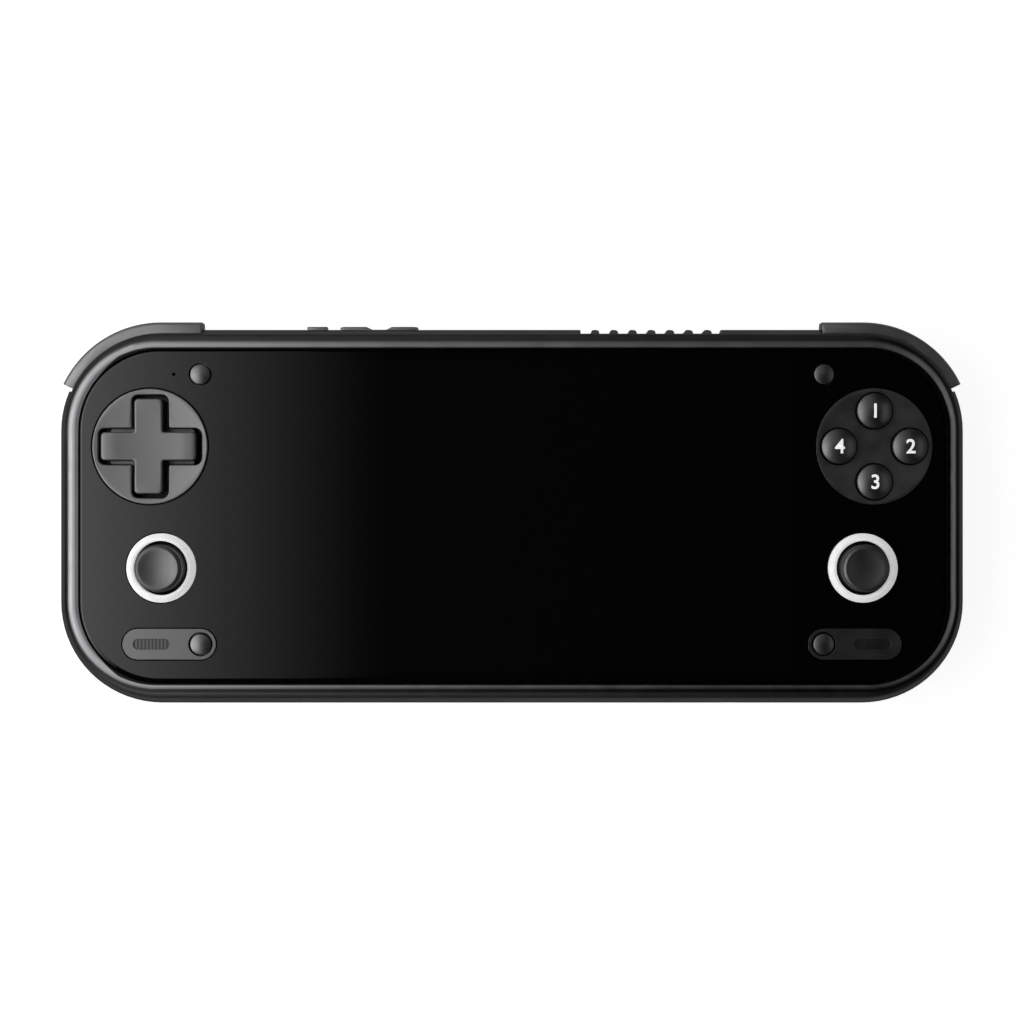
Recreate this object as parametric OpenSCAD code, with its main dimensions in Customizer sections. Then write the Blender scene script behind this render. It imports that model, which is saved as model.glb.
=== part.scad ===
// Handheld game console, lying on its back.
// X runs to the right of the screen, Y to the top edge, Z out of the glass.
// The origin is on the flat back, under the middle of the screen. Millimetres.

/* [Body] */
// Width of the body across the grips
body_w = 210; // [204:1:220]
// Height of the body from bottom edge to top edge
body_h = 86.9; // [85:0.1:92]
// Thickness from the flat back to the face of the glass
body_t = 16.5; // [16.3:0.1:18]
// Radius of the four corners seen from the front
corner_r = 23.6; // [22.8:0.1:24.4]
// Thickness of the side walls at their widest
wall = 2.4; // [2.2:0.1:2.6]
// Thickness of the flat back
floor_t = 1.8; // [1.4:0.1:2]
// Radius of the round edge next to the glass
front_round = 3.1; // [2.6:0.1:3.4]
// Radius of the gentle bow of the sides towards the front
side_bow = 9.5; // [8.5:0.5:12]
// Radius of the round edge next to the flat back
rear_round = 7; // [6.4:0.1:7.6]
// Radius of the gentle bow of the sides towards the back
rear_bow = 20; // [18:0.5:21.5]
// Distance from the outline to the edge of the glass
rim_w = 4.9; // [4.8:0.1:5.2]

/* [Glass and screen] */
// Thickness of the cover glass
glass_t = 1.1; // [0.9:0.1:1.2]
// Height of the glass above the rim
glass_proud = 0.2; // [0.1:0.05:0.3]
// Radius of the soft edge of the glass
glass_edge = 0.7; // [0.4:0.1:0.8]
// Thickness of the display panel
panel_t = 2.1; // [1.8:0.1:2.2]
// Thickness of the deck that carries the glass
deck_t = 1.1; // [1:0.1:1.3]
// Thickness of the mid plate behind the display
mid_t = 1.1; // [0.9:0.1:1.2]

/* [Control discs] */
// Radius of the two dished discs
disc_r = 13.4; // [13:0.1:13.8]
// Depth of their dish in the middle
disc_dish = 0.5; // [0.3:0.1:0.6]
// Length of the direction pad across two arms
pad_span = 22; // [21:0.1:22.6]
// Width of one arm of the direction pad
pad_arm = 6.6; // [6.2:0.1:7]
// Height of the direction pad above the glass
pad_proud = 2.2; // [1.6:0.1:2.6]
// Gap between the direction pad and its opening
pad_gap = 0.8; // [0.5:0.05:0.9]
// Radius of a face button
button_r = 4.05; // [3.8:0.05:4.2]
// Distance from the disc centre to a face button
button_pitch = 8.2; // [8.1:0.05:8.4]
// Height of a face button above the glass
button_proud = 1.9; // [1.5:0.1:2.4]

/* [Sticks] */
// Radius of the light ring at its foot
ring_r = 8; // [7.8:0.05:8.2]
// Radius of the hole in the light ring
ring_hole_r = 6.3; // [6.2:0.05:6.5]
// Height of the light ring above the glass
ring_proud = 1.4; // [1:0.1:1.5]
// Radius of the stick cap
cap_r = 5.45; // [5.2:0.05:5.6]
// Height of the stick cap above the glass
cap_proud = 5; // [4.8:0.1:5.6]
// Thickness of the rim of the stick cap
cap_t = 1.6; // [1.4:0.1:1.8]
// Radius of the round dust skirt under the cap
skirt_r = 8; // [7.8:0.05:8.1]
// Radius of the stick shaft
shaft_r = 1.2; // [1:0.05:1.3]

/* [Small keys] */
// Radius of the two keys in the upper corners
top_key_r = 2.35; // [2.1:0.05:2.5]
// Radius of the two keys in the speaker plates
low_key_r = 2.45; // [2.2:0.05:2.6]
// Height of the small keys above the glass
key_proud = 0.8; // [0.5:0.1:1.1]
// Length of a speaker plate
plate_l = 21.6; // [20.8:0.1:22.2]
// Width of a speaker plate
plate_w = 7.1; // [6.8:0.1:7.4]
// Number of sound slits in a speaker plate
slit_count = 10; // [6:1:11]

/* [Edges] */
// Distance that the bumpers stand out of the outline
bumper_proud = 1.55; // [1.2:0.05:1.8]
// Angle of the bumper's end below the top of the corner
bumper_sweep = 64.5; // [58:0.5:66]
// Distance that the triggers stand out of the outline
trigger_proud = 1.9; // [1.6:0.1:2.2]
// Length of the power button
power_l = 4.7; // [4:0.1:5.4]
// Length of the volume rocker
rocker_l = 18.1; // [17:0.1:19]
// Distance that the edge keys stand out of the top edge
edge_key_proud = 0.65; // [0.4:0.05:0.8]
// Number of air slots in the top edge
vent_count = 8; // [6:1:8]
// Distance from one air slot to the next
vent_pitch = 4.34; // [4:0.02:4.4]
// Width of the rib between two air slots
vent_rib = 1.9; // [1.6:0.1:2.2]
// Length of the card flap
flap_l = 22.9; // [20:0.1:24]

/* [Sockets] */
// Radius of the bore of the headphone jack
jack_bore_r = 1.8; // [1.77:0.01:1.85]
// Depth of the bore of the headphone jack
jack_bore_l = 14; // [12.5:0.1:14]
// Width inside the charging port
port_w = 8.34; // [8.3:0.01:8.4]
// Height inside the charging port
port_h = 2.56; // [2.5:0.01:2.6]

/* [Fits] */
// Gap round pieces that are set into the front
set_gap = 0.15; // [0.1:0.01:0.2]
// Gap in the glass round the discs, rings and speaker plates
glass_gap = 0.3; // [0.15:0.05:0.35]
// Gap round the round keys
key_gap = 0.35; // [0.2:0.05:0.4]
// Gap round other keys that slide
slide_gap = 0.2; // [0.15:0.01:0.25]
// Gap round pins and shafts that turn
pin_gap = 0.05; // [0.03:0.01:0.08]

/* [Hidden] */
$fn = 64;
// Overlap that joins two solids of one piece
bite = 0.3;
// Overshoot of a cut past a face
past = 1;

// Half sizes and corner centres of the outline
half_w = body_w / 2;
half_h = body_h / 2;
mid_x = half_w - corner_r;
mid_y = half_h - corner_r;

// Heights, from the glass down
rim_z = body_t - glass_proud;
deck_z = body_t - glass_t;
under_z = deck_z - deck_t;
mid_top = deck_z - panel_t - 0.1;
mid_under = mid_top - mid_t;
bow_z = body_t - 5;
split_z = body_t - 7.5;
board_t = 1;
board_z = split_z - board_t / 2;
board_top = board_z + board_t;

// Distances measured from a corner centre outwards
glass_out = corner_r - rim_w;
glass_band = 3;
cave_out = corner_r - wall;
floor_out = 10;
step_out = corner_r - 6.1;
step_z = 5.2;

// Places of the controls on the right half; the left half mirrors them
// Shares of the free height of the glass: above the disc, under it, under the ring and under the plate
stack = [9, 6.7, 6.05, 5.45];
stack_free = 2 * (half_h - rim_w - disc_r - ring_r) - plate_w;
stack_unit = stack_free / (stack[0] + stack[1] + stack[2] + stack[3]);
disc_y = half_h - rim_w - stack[0] * stack_unit - disc_r;
stick_y = disc_y - disc_r - stack[1] * stack_unit - ring_r;
plate_y = stick_y - ring_r - stack[2] * stack_unit - plate_w / 2;
disc_at = [half_w - 21.35, disc_y];
stick_at = [half_w - 23.9, stick_y];
top_key_at = [half_w - 32.95, half_h - 10.65];
plate_at = [half_w - 25.8, plate_y];
low_key_at = plate_at - [(plate_l - plate_w) / 2, 0];
slot_at = plate_at + [4.1, 0];
slot_l = 8.5;
slot_h = 2.4;
slot_rim = 0.3;
// Open part of one slit's pitch
slit_part = 0.5;
mic_at = [-(half_w - 26.85), top_key_at[1]];
mic_r = 0.4;
// Width of the deck's lip under a disc
disc_lip = 1;

// Screen
window = [half_w - 38.7, half_h - 6.4];
panel = window - [1.3, 0.8];
mid_half = [window[0] + 2.3, half_h - 7.65];

// Fasteners: thread radius, head radius and head height of both kinds
case_thread = [0.95, 1.75, 1.2];
inner_thread = [0.6, 1.1, 0.7];
thread_gap = 0.05;
// Clear gaps round a thread, round a screw's shank and round its head
hole_gap = 0.1;
head_gap = 0.2;
// Lengths of the case screws, board screws, fan screws and mid plate screws
case_screw_l = 7.4;
board_screw_l = 3;
fan_screw_l = 8;
mid_screw_l = 2.6;
// Free depth of a screw hole past the screw's tip
tip_gap = 0.3;
case_seat_z = 3.6;
case_seat_r = 2.9;
case_at = [[half_w - 45, half_h - 4.45], [half_w - 45, 4.45 - half_h], [half_w - 5.6, -3]];
case_boss_r = 1.9;
board_at = [[half_w - 33.6, disc_y - 12.15], [half_w - 11.8, stick_y + 10.45],
  [half_w - 33.8, stick_y - 10.65]];
board_boss_r = 1.6;
mid_at = [for (s = [-1, 0, 1]) [window[0] + 1.2, s * (mid_half[1] - 11.8)]];
mid_boss_r = 1.1;

// Places along the top and bottom edges, from the ends of the body
power_x = 59.7 - half_w;
rocker_x = 74.1 - half_w;
pickup_x = 31.8 - half_w;
port_x = half_w - 68.2;
jack_x = half_w - 54.4;
card_x = -12.6;

// Rooms inside: near corner and far corner of each part in the plan
fan_half = 16;
fan_at = [half_w - 72.7, half_h - 9.85 - fan_half];
battery_half = half_w - 45;
battery_from = [-battery_half, 18 - half_h];
battery_to = [battery_half, fan_at[1] - fan_half - 1];
battery_t = 7.9;
main_from = [49 - half_w, battery_to[1] + 2];
main_to = [fan_at[0] - fan_half - 3.8, half_h - 4.5];
main_at = [for (x = [main_from[0] + 4, main_to[0] - 3.5], y = [main_from[1] + 4, main_to[1] - 7.95]) [x, y]];
ports_from = [card_x - 9.4, 3.2 - half_h];
ports_to = [jack_x + 6.8, 16.4 - half_h];
ports_at = [[card_x + 14.6, 11 - half_h], [port_x - 14.8, 11 - half_h],
  [(port_x + jack_x) / 2 + 0.6, 12.4 - half_h]];
fan_z = [mid_under - 9.1, mid_under - 3.1];
fan_ears = [for (s = [[-1, -1], [1, -1], [-1, 1]]) fan_at + (fan_half - 1.6) * s];
fan_wall = 0.8;
rotor_r = 13.4;
fan_shaft_r = 1.2;
intake_r = 11.5;

// Sticks: all turns go through this height
stick_z = split_z;
yoke_in = 3.9;
yoke_out = 5;
yoke_h = 2;
hub_r = 3.2;
stick_pin_r = 0.55;
well_r = 5.9;
base_half = 7.2;
base_z = stick_z - 5;
base_top = stick_z + 2;
base_floor = 0.7;
base_flange = base_half + 1.8;
base_flange_t = 0.8;
// Gap from a pin's end to the outer face of the piece that holds it
pin_end_gap = 0.1;

// Shoulder keys on the right half
bumper_out = corner_r + bumper_proud;
bumper_in = corner_r - 1.3;
bumper_z = [split_z + 0.4, body_t - 1.37];
bumper_x = half_w - 33.1;
bumper_end_gap = 0.9;
bumper_room = [1, 0.1];
bumper_edge = 0.9;
bumper_nub = [1.4, 0.9, 2];
bumper_post_at = [half_w - 31.9, half_h - 4.75];
bumper_post_r = 1.2;
bumper_lug_r = 2.1;
switch_turn = 52;
trigger_out = corner_r + trigger_proud;
trigger_in = corner_r - 3;
trigger_z = [2.9, split_z - 0.8];
trigger_x = [half_w - 31.8, half_w - 14];
trigger_pin_at = [half_h - 4.85, trigger_z[1] - 1.2];
trigger_pin_r = 0.8;
trigger_lug = 2.6;
trigger_lug_r = 1.2;
trigger_lug_z = [trigger_pin_at[1] - trigger_lug_r, trigger_pin_at[1] + trigger_lug_r];
trigger_edges = [0.8, 2];
trigger_room = [1, 0.9];
ear_t = 1.6;
ear_y = [-1.6, 1.3];

// Edge keys in the top edge
edge_z = [bow_z - 1.3, bow_z + 1.3];
edge_in = half_h - 3.2;
rocker_post_at = [rocker_x, half_h - 5.05];
rocker_post_r = 0.8;
rocker_nub = 6.5;
rocker_lug_r = 1.7;
rocker_dip = [1.6, 3];
rocker_slope = [0.8, 0.15];
rocker_end_gap = 0.3;
// Depth where the edge keys meet their switches
edge_nub_in = half_h - 5.05;
edge_switch_y = half_h - 7.45;
edge_nub_half = 0.8;
vent_x = fan_at[0];
vent_z = [split_z - 3, body_t - 1.1];

// Sockets and card flap in the bottom edge
port_wall = 0.3;
port_l = 7.3;
// Half width, half height and corner radius of the landing round the charging port
port_landing = [5.9, 3.3, 2.4];
port_tongue = [3.35, 0.35];
jack_nose_r = 2.45;
jack_half = 3.1;
jack_half_t = 2.6;
jack_l = 14.2;
jack_landing_r = 4;
landing = 0.5;
// Depth of the socket mouths below the outline
mouth_in = 0.4;
card_w = 14;
card_slot = [11.4, 1.1];
card_slot_z = board_top + 0.45;
card_room = 0.8;
reader_y = [3.2 - half_h, 17.6 - half_h];
flap_z = [split_z - 1.6, bow_z + 1.7];
flap_t = 1.5;
barrel_r = 0.75;
barrel_at = [corner_r - 1.2, flap_z[0]];
flap_pin_r = 0.45;
flap_pin_l = 0.75;
flap_rib_t = 0.8;
pickup_r = 0.6;

shell = "#26272a";
soft_black = "#1b1c1e";
mid_grey = "#3c3d40";
ring_white = "#e8e8e6";
steel = "#b9bcc0";
board_green = "#1d4a34";

// Plane shapes

// Rounded rectangle from its half sizes and corner radius
module round_rect(hx, hy, r) {
  square([2 * hx - 2 * r, 2 * hy], center = true);
  square([2 * hx, 2 * hy - 2 * r], center = true);
  for (x = [-1, 1], y = [-1, 1]) translate([x * (hx - r), y * (hy - r)]) circle(r);
}

// Pill from its length and width
module pill(l, w) {
  square([l - w, w], center = true);
  for (x = [-1, 1]) translate([x * (l - w) / 2, 0]) circle(d = w);
}

// Cross with rounded arm ends
module cross(span, arm, r) {
  round_rect(span / 2, arm / 2, r);
  round_rect(arm / 2, span / 2, r);
}

// Slice of a disc between two angles
module slice(c, r, from, to) {
  mid = (from + to) / 2;
  intersection() {
    translate(c) circle(r);
    polygon([c, c + 2 * r * [cos(from), sin(from)], c + 3 * r * [cos(mid), sin(mid)],
      c + 2 * r * [cos(to), sin(to)]]);
  }
}

// Half of the side's section: a round edge that runs on into a gentle bow.
// deep is the height from the widest line to the flat, dir is 1 up or -1 down.
module side_half(edge, bow, deep, dir) {
  turn = asin((deep - edge) / (bow - edge));
  bow_c = [corner_r - bow, 0];
  edge_c = bow_c + (bow - edge) * [cos(turn), sin(turn)];
  meet = edge_c + edge * [cos(turn), sin(turn)];
  translate([0, bow_z]) mirror([0, dir < 0 ? 1 : 0]) {
    polygon([[0, 0], [corner_r, 0], meet, [edge_c[0], deep], [0, deep]]);
    slice(edge_c, edge, turn, 90);
    slice(bow_c, bow, 0, turn);
  }
}

// Section of the side, from a corner centre out to the surface
module side_section() {
  side_half(front_round, side_bow, rim_z - bow_z, 1);
  side_half(rear_round, rear_bow, bow_z, -1);
}

// The part of that section outside a given distance and between two heights
module side_band(out, from, to) {
  intersection() {
    side_section();
    translate([out, from]) square([corner_r, to - from]);
  }
}

// Solid helpers

// Carries a section round the outline of the body
module round_outline() {
  for (k = [0:3]) {
    x = (k == 0 || k == 3) ? 1 : -1;
    y = k < 2 ? 1 : -1;
    translate([x * mid_x, y * mid_y, 0]) rotate(90 * k) rotate_extrude(angle = 90) children();
  }
  for (k = [0, 180]) rotate(k) {
    along_x(-mid_x, mid_x) translate([mid_y, 0]) children();
    translate([mid_x, mid_y, 0]) rotate([90, 0, 0]) linear_extrude(2 * mid_y) children();
  }
}

// Carries a section given in Y and Z along X
module along_x(from, to) {
  translate([from, 0, 0]) rotate([90, 0, 90]) linear_extrude(to - from) children();
}

// Carries a section round the upper right corner, with a straight run to its left.
// The arc is swept from the straight run's end, so that the two meet exactly.
module round_shoulder(sweep, from_x) {
  translate([mid_x, mid_y, 0]) mirror([1, -1, 0]) rotate_extrude(angle = sweep) children();
  along_x(from_x, mid_x) translate([mid_y, 0]) children();
}

// Plate that follows the outline at a given distance from the corner centres
module outline_plate(out, from, to) {
  translate([0, 0, from]) linear_extrude(to - from) round_rect(mid_x + out, mid_y + out, out);
}

// Block between two corners in the plan and two heights
module block(from, to, z) {
  translate([from[0], from[1], z[0]]) cube([to[0] - from[0], to[1] - from[1], z[1] - z[0]]);
}

// Upright cylinder between two heights
module post(at, r, z) {
  translate([at[0], at[1], z[0]]) cylinder(r = r, h = z[1] - z[0]);
}

module both_sides() {
  children();
  mirror([1, 0, 0]) children();
}

module on_side(s) {
  mirror([s < 0 ? 1 : 0, 0, 0]) children();
}

// Pan-head screw that points up, with its seat at height z
module screw(at, size, z, l) {
  post(at, size[0], [z - bite, z + l]);
  post(at, size[1], [z - size[2], z]);
}

// Hole for the thread of that screw
module screw_hole(at, size, z, l) {
  post(at, size[0] + thread_gap, [z, z + l + tip_gap]);
}

// Places of the four face buttons round their disc
function button_at(turn) = disc_at + button_pitch * [cos(turn), sin(turn)];

// Casing

module front_openings() {
  block(-window, window, [under_z - past, deck_z + past]);
  for (turn = [0:90:270]) post(button_at(turn), button_r + key_gap, [under_z - past, deck_z + past]);
  mirror([1, 0, 0]) post(disc_at, disc_r - disc_lip, [under_z - past, deck_z + past]);
  post(mic_at, mic_r, [under_z - past, deck_z + past]);
  both_sides() {
    post(stick_at, ring_hole_r, [under_z - past, deck_z + past]);
    post(top_key_at, top_key_r + key_gap, [under_z - past, deck_z + past]);
    post(low_key_at, low_key_r + key_gap, [under_z - past, deck_z + past]);
    translate([slot_at[0], slot_at[1], under_z - past]) linear_extrude(deck_t + 2 * past) pill(slot_l, slot_h);
  }
}

// Window in the corner of the front housing for a bumper
module bumper_window() {
  gap_turn = bumper_end_gap / bumper_in * 180 / PI;
  round_shoulder(bumper_sweep + gap_turn, bumper_x - slide_gap) {
    translate([cave_out - bumper_room[0], split_z - past])
      square([corner_r, under_z + bumper_room[1] - split_z + past]);
    translate([cave_out + bumper_room[1], split_z - past])
      square([corner_r, bumper_z[1] + slide_gap - split_z + past]);
  }
}

// Window in the corner of the rear cover for a trigger
module trigger_window() {
  intersection() {
    round_shoulder(90, trigger_x[0] - past)
      translate([step_out - trigger_room[0], trigger_z[0] - trigger_room[1]]) square([corner_r, body_t]);
    block([trigger_x[0] - slide_gap, 0], [trigger_x[1] + slide_gap, body_h], [0, split_z + past]);
  }
}

// Air slots, as one opening with the ribs left standing
module vents() {
  rib_r = vent_rib / 2;
  span = vent_count * vent_pitch - vent_rib;
  translate([vent_x, 0, vent_z[0]]) linear_extrude(vent_z[1] - vent_z[0]) difference() {
    translate([-span / 2, half_h - wall - bite]) square([span, wall + past]);
    for (i = [1:vent_count - 1]) translate([i * vent_pitch - (span + vent_rib) / 2, 0]) {
      translate([-rib_r, half_h - wall - past]) square([vent_rib, wall + past - rib_r]);
      translate([0, half_h - rib_r]) circle(rib_r);
    }
  }
}

// Room that the sockets and the card flap need in both halves of the casing
module bottom_openings() {
  y = -half_h;
  translate([port_x, y + landing, split_z]) rotate([90, 0, 0]) linear_extrude(past + landing)
    round_rect(port_landing[0], port_landing[1], port_landing[2]);
  translate([port_x, y + wall + past, split_z]) rotate([90, 0, 0]) linear_extrude(wall + 2 * past)
    port_outline(port_wall + set_gap);
  translate([jack_x, y + landing, split_z]) rotate([90, 0, 0]) cylinder(r = jack_landing_r, h = past + landing);
  translate([jack_x, y + wall + past, split_z]) rotate([90, 0, 0])
    cylinder(r = jack_nose_r + set_gap, h = wall + 2 * past);
  translate([card_x, 0, 0]) flap_room();
  translate([pickup_x, y + wall + past, bow_z]) rotate([90, 0, 0]) cylinder(r = pickup_r, h = wall + 2 * past);
  slot = card_slot[0] / 2 + card_room;
  block([card_x - slot, y - past], [card_x + slot, y + wall + past],
    [card_slot_z - card_room / 2, card_slot_z + card_slot[1] + card_room / 2]);
}

// Seat of the card flap: a shallow one for its plate and a deeper one for its barrel,
// low enough for the plate to swing out
module flap_room() {
  room = flap_l / 2 + set_gap;
  swing = corner_r - barrel_at[0] + set_gap;
  barrel_room = barrel_r + set_gap;
  rotate(180) along_x(-room, room) translate([mid_y, 0]) {
    translate([corner_r - flap_t - set_gap, flap_z[0] - swing])
      square([flap_t + past, flap_z[1] - flap_z[0] + swing + set_gap]);
    translate([barrel_at[0] - barrel_room, barrel_at[1] - swing])
      square([barrel_room + past, swing + barrel_room]);
  }
  rotate(180) along_x(-room - flap_pin_l, room + flap_pin_l) translate([mid_y, 0]) translate(barrel_at)
    circle(flap_pin_r + pin_gap);
}

// Rib inside the rear cover that backs the seat of the flap's barrel
module flap_rib() {
  top = barrel_at[1] + barrel_r + set_gap;
  translate([card_x, 0, 0]) rotate(180) along_x(-flap_l / 2 - 2 * flap_pin_l, flap_l / 2 + 2 * flap_pin_l)
    translate([mid_y + cave_out - flap_rib_t, step_z - bite]) square([flap_rib_t + bite, top - step_z + bite]);
}

module edge_key_slots() {
  z = edge_z + slide_gap * [-1, 1];
  y = half_h - wall - past;
  block([power_x - power_l / 2 - slide_gap, y], [power_x + power_l / 2 + slide_gap, half_h + past], z);
  block([rocker_x - rocker_l / 2 - rocker_end_gap, y],
    [rocker_x + rocker_l / 2 + rocker_end_gap, half_h + past], z);
}

// Positions on both sides for a list of places on the right half
function mirrored(list) = [for (s = [-1, 1], p = list) [s * p[0], p[1]]];

module front_housing() color(shell) difference() {
  union() {
    difference() {
      union() {
        round_outline() {
          side_band(cave_out, split_z, deck_z);
          side_band(glass_out + set_gap, deck_z - bite, rim_z);
        }
        outline_plate(cave_out + bite, under_z, deck_z);
      }
      front_openings();
      both_sides() bumper_window();
      vents();
      edge_key_slots();
    }
    for (p = mirrored(case_at)) post(p, case_boss_r, [step_z + hole_gap, under_z + bite]);
    for (p = mirrored(board_at)) post(p, board_boss_r, [board_top, under_z + bite]);
    for (p = mirrored(mid_at)) post(p, mid_boss_r, [mid_top, under_z + bite]);
    both_sides() post(bumper_post_at, bumper_post_r, [bumper_z[0] + slide_gap, under_z + bite]);
    post(rocker_post_at, rocker_post_r, [edge_z[0] - bite, under_z + bite]);
  }
  bottom_openings();
  for (p = mirrored(case_at)) screw_hole(p, case_thread, case_seat_z, case_screw_l);
  for (p = mirrored(board_at)) screw_hole(p, inner_thread, board_z, board_screw_l);
  for (p = mirrored(mid_at)) screw_hole(p, inner_thread, mid_under, mid_screw_l);
}

// Intake grille of the fan, cut through the flat back
module intake() {
  bar = 1.6;
  translate([fan_at[0], fan_at[1], -past]) linear_extrude(floor_t + 2 * past)
    for (i = [-3:3]) translate([i * 2 * bar, 0]) rotate(90)
      pill(2 * sqrt(pow(intake_r, 2) - pow(i * 2 * bar, 2)), bar);
}

// Ears on both sides of a trigger that hold its pin
module trigger_ears() {
  intersection() {
    for (x = [trigger_x[0] - slide_gap - ear_t, trigger_x[1] + slide_gap])
      block([x, trigger_pin_at[0] + ear_y[0]], [x + ear_t, trigger_pin_at[0] + ear_y[1]],
        [floor_t - bite, trigger_z[1]]);
    round_shoulder(90, trigger_x[0] - 2 * ear_t) side_band(floor_out, 0, split_z);
  }
}

module trigger_pin_hole(gap) {
  along_x(trigger_x[0] - slide_gap - ear_t, trigger_x[1] + slide_gap + ear_t) translate(trigger_pin_at)
    circle(trigger_pin_r + gap);
}

// Seats of the case screws, kept inside the curve of the side
module case_seats() intersection() {
  for (p = mirrored(case_at)) post(p, case_seat_r, [floor_t - bite, step_z]);
  outline_plate(step_out + bite, 0, step_z + past);
}

module rear_cover() color(shell) difference() {
  union() {
    difference() {
      union() {
        round_outline() {
          side_band(floor_out, 0, floor_t);
          side_band(step_out, 0, step_z);
          side_band(cave_out, step_z - bite, split_z);
        }
        outline_plate(floor_out + bite, 0, floor_t);
        case_seats();
        flap_rib();
      }
      both_sides() trigger_window();
      vents();
    }
    both_sides() trigger_ears();
  }
  bottom_openings();
  intake();
  both_sides() trigger_pin_hole(pin_gap);
  for (p = mirrored(case_at)) {
    post(p, case_thread[1] + head_gap, [-past, case_seat_z]);
    post(p, case_thread[0] + hole_gap, [-past, step_z + past]);
  }
}

module glass_openings() {
  z = [deck_z - past, body_t + past];
  both_sides() {
    post(disc_at, disc_r + glass_gap, z);
    post(stick_at, ring_r + glass_gap, z);
    post(top_key_at, top_key_r + key_gap, z);
    translate([plate_at[0], plate_at[1], z[0]]) linear_extrude(z[1] - z[0])
      pill(plate_l + 2 * glass_gap, plate_w + 2 * glass_gap);
  }
  post(mic_at, mic_r, z);
}

module cover_glass() color("#08090a") difference() {
  union() {
    round_outline() {
      translate([glass_out - glass_band, deck_z]) square([glass_band, glass_t - glass_edge]);
      translate([glass_out - glass_band, deck_z]) square([glass_band - glass_edge, glass_t]);
      slice([glass_out - glass_edge, body_t - glass_edge], glass_edge, 0, 90);
    }
    outline_plate(glass_out - glass_band + bite, deck_z, body_t);
  }
  glass_openings();
}

module display_panel() color("#101114") block(-panel, panel, [mid_top, deck_z]);

module mid_plate() color(steel) difference() {
  union() {
    block(-mid_half, mid_half, [mid_under, mid_top]);
    for (p = concat(main_at, ports_at)) post(p, board_boss_r, [board_top, mid_under + bite]);
    for (p = fan_ears) post(p, board_boss_r, [fan_z[1], mid_under + bite]);
  }
  for (p = concat(main_at, ports_at, fan_ears)) post(p, inner_thread[0] + thread_gap, [0, mid_top - tip_gap]);
  for (p = mirrored(mid_at)) post(p, inner_thread[0] + hole_gap, [0, body_t]);
}

module case_screws() color(steel)
  for (p = mirrored(case_at)) screw(p, case_thread, case_seat_z, case_screw_l);

module inner_screws() color(steel) {
  for (p = concat(mirrored(board_at), main_at, ports_at)) screw(p, inner_thread, board_z, board_screw_l);
  for (p = fan_ears) screw(p, inner_thread, fan_z[0], fan_screw_l);
  for (p = mirrored(mid_at)) screw(p, inner_thread, mid_under, mid_screw_l);
}

// Control discs, direction pad and face buttons

// Height of the discs and plates above the glass, and the width of a disc's flat rim
disc_proud = 0.1;
plate_proud = 0.05;
disc_rim = 0.6;

// The bowl is a very large circle, so it takes many steps
module dished_disc() {
  bowl = (pow(disc_r - disc_rim, 2) + pow(disc_dish, 2)) / (2 * disc_dish);
  rotate_extrude() difference() {
    translate([0, deck_z]) square([disc_r, glass_t + disc_proud]);
    translate([0, body_t + disc_proud - disc_dish + bowl]) circle(bowl, $fn = 1440);
  }
}

module d_pad_bezel() color(mid_grey) translate([-disc_at[0], disc_at[1], 0]) difference() {
  dished_disc();
  translate([0, 0, deck_z - past]) linear_extrude(glass_t + 2 * past)
    cross(pad_span + 2 * pad_gap, pad_arm + 2 * pad_gap, pad_corner + pad_gap / 2);
}

module face_bezel() color(mid_grey) difference() {
  translate([disc_at[0], disc_at[1], 0]) dished_disc();
  for (turn = [0:90:270]) post(button_at(turn), button_r + key_gap, [deck_z - past, body_t + past]);
}

pad_top = body_t + pad_proud;
pad_flange = [board_top + 2.4, board_top + 3.4];
pad_flange_r = 10.4;
pad_corner = 1;
// Depth and radius of the hollow in the top of the direction pad
pad_hollow = [0.6, 60];
pivot_z = body_t - 3.3;
pivot_r = 1.4;
// Half width of the cup that the pivot stands in
pivot_room_r = 2.4;
pivot_cover = 0.3;
pivot_seat = 0.7;
pivot_post_r = 1.3;
// Membranes: thickness of the sheet, then radius of the sheet and of a dome under each control
sheet_t = 0.7;
pad_sheet = [11.8, 2];
face_sheet = [12, 3];
dome_pitch = 8.2;

module d_pad() color(mid_grey) translate([-disc_at[0], disc_at[1], 0]) difference() {
  union() {
    translate([0, 0, pad_flange[0]]) cylinder(r = pad_flange_r, h = pad_flange[1] - pad_flange[0]);
    translate([0, 0, pad_flange[1] - bite]) linear_extrude(pad_top - pad_flange[1] + bite)
      cross(pad_span, pad_arm, pad_corner);
  }
  translate([0, 0, pad_top - pad_hollow[0] + pad_hollow[1]]) sphere(pad_hollow[1], $fn = 160);
  translate([0, 0, pivot_z]) sphere(pivot_r + pin_gap);
  post([0, 0], pivot_room_r, [pad_flange[0] - past, pivot_z - pivot_cover]);
}

module d_pad_pivot() color(steel) translate([-disc_at[0], disc_at[1], pivot_z]) sphere(pivot_r);

module d_pad_membrane() color("#55575a") translate([-disc_at[0], disc_at[1], 0]) difference() {
  union() {
    post([0, 0], pad_sheet[0], [board_top, board_top + sheet_t]);
    post([0, 0], pivot_post_r, [board_top, pivot_z - pivot_seat]);
    for (turn = [0:90:270])
      post(dome_pitch * [cos(turn), sin(turn)], pad_sheet[1], [board_top, pad_flange[0]]);
  }
  translate([0, 0, pivot_z]) sphere(pivot_r + pin_gap);
}

// Round key with a domed top and a softened edge
module dome_key(r, top, dome, foot) {
  sag = dome[0];
  edge = dome[1];
  ball = (r * r + sag * sag) / (2 * sag);
  shoulder = top - ball + sqrt(ball * ball - pow(r - edge, 2)) - edge;
  rotate_extrude() intersection() {
    union() {
      translate([0, foot]) square([r - edge, top - foot]);
      translate([0, foot]) square([r, shoulder - foot]);
      translate([r - edge, shoulder]) circle(edge);
    }
    translate([0, top - ball]) circle(ball, $fn = 128);
  }
}

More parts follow.
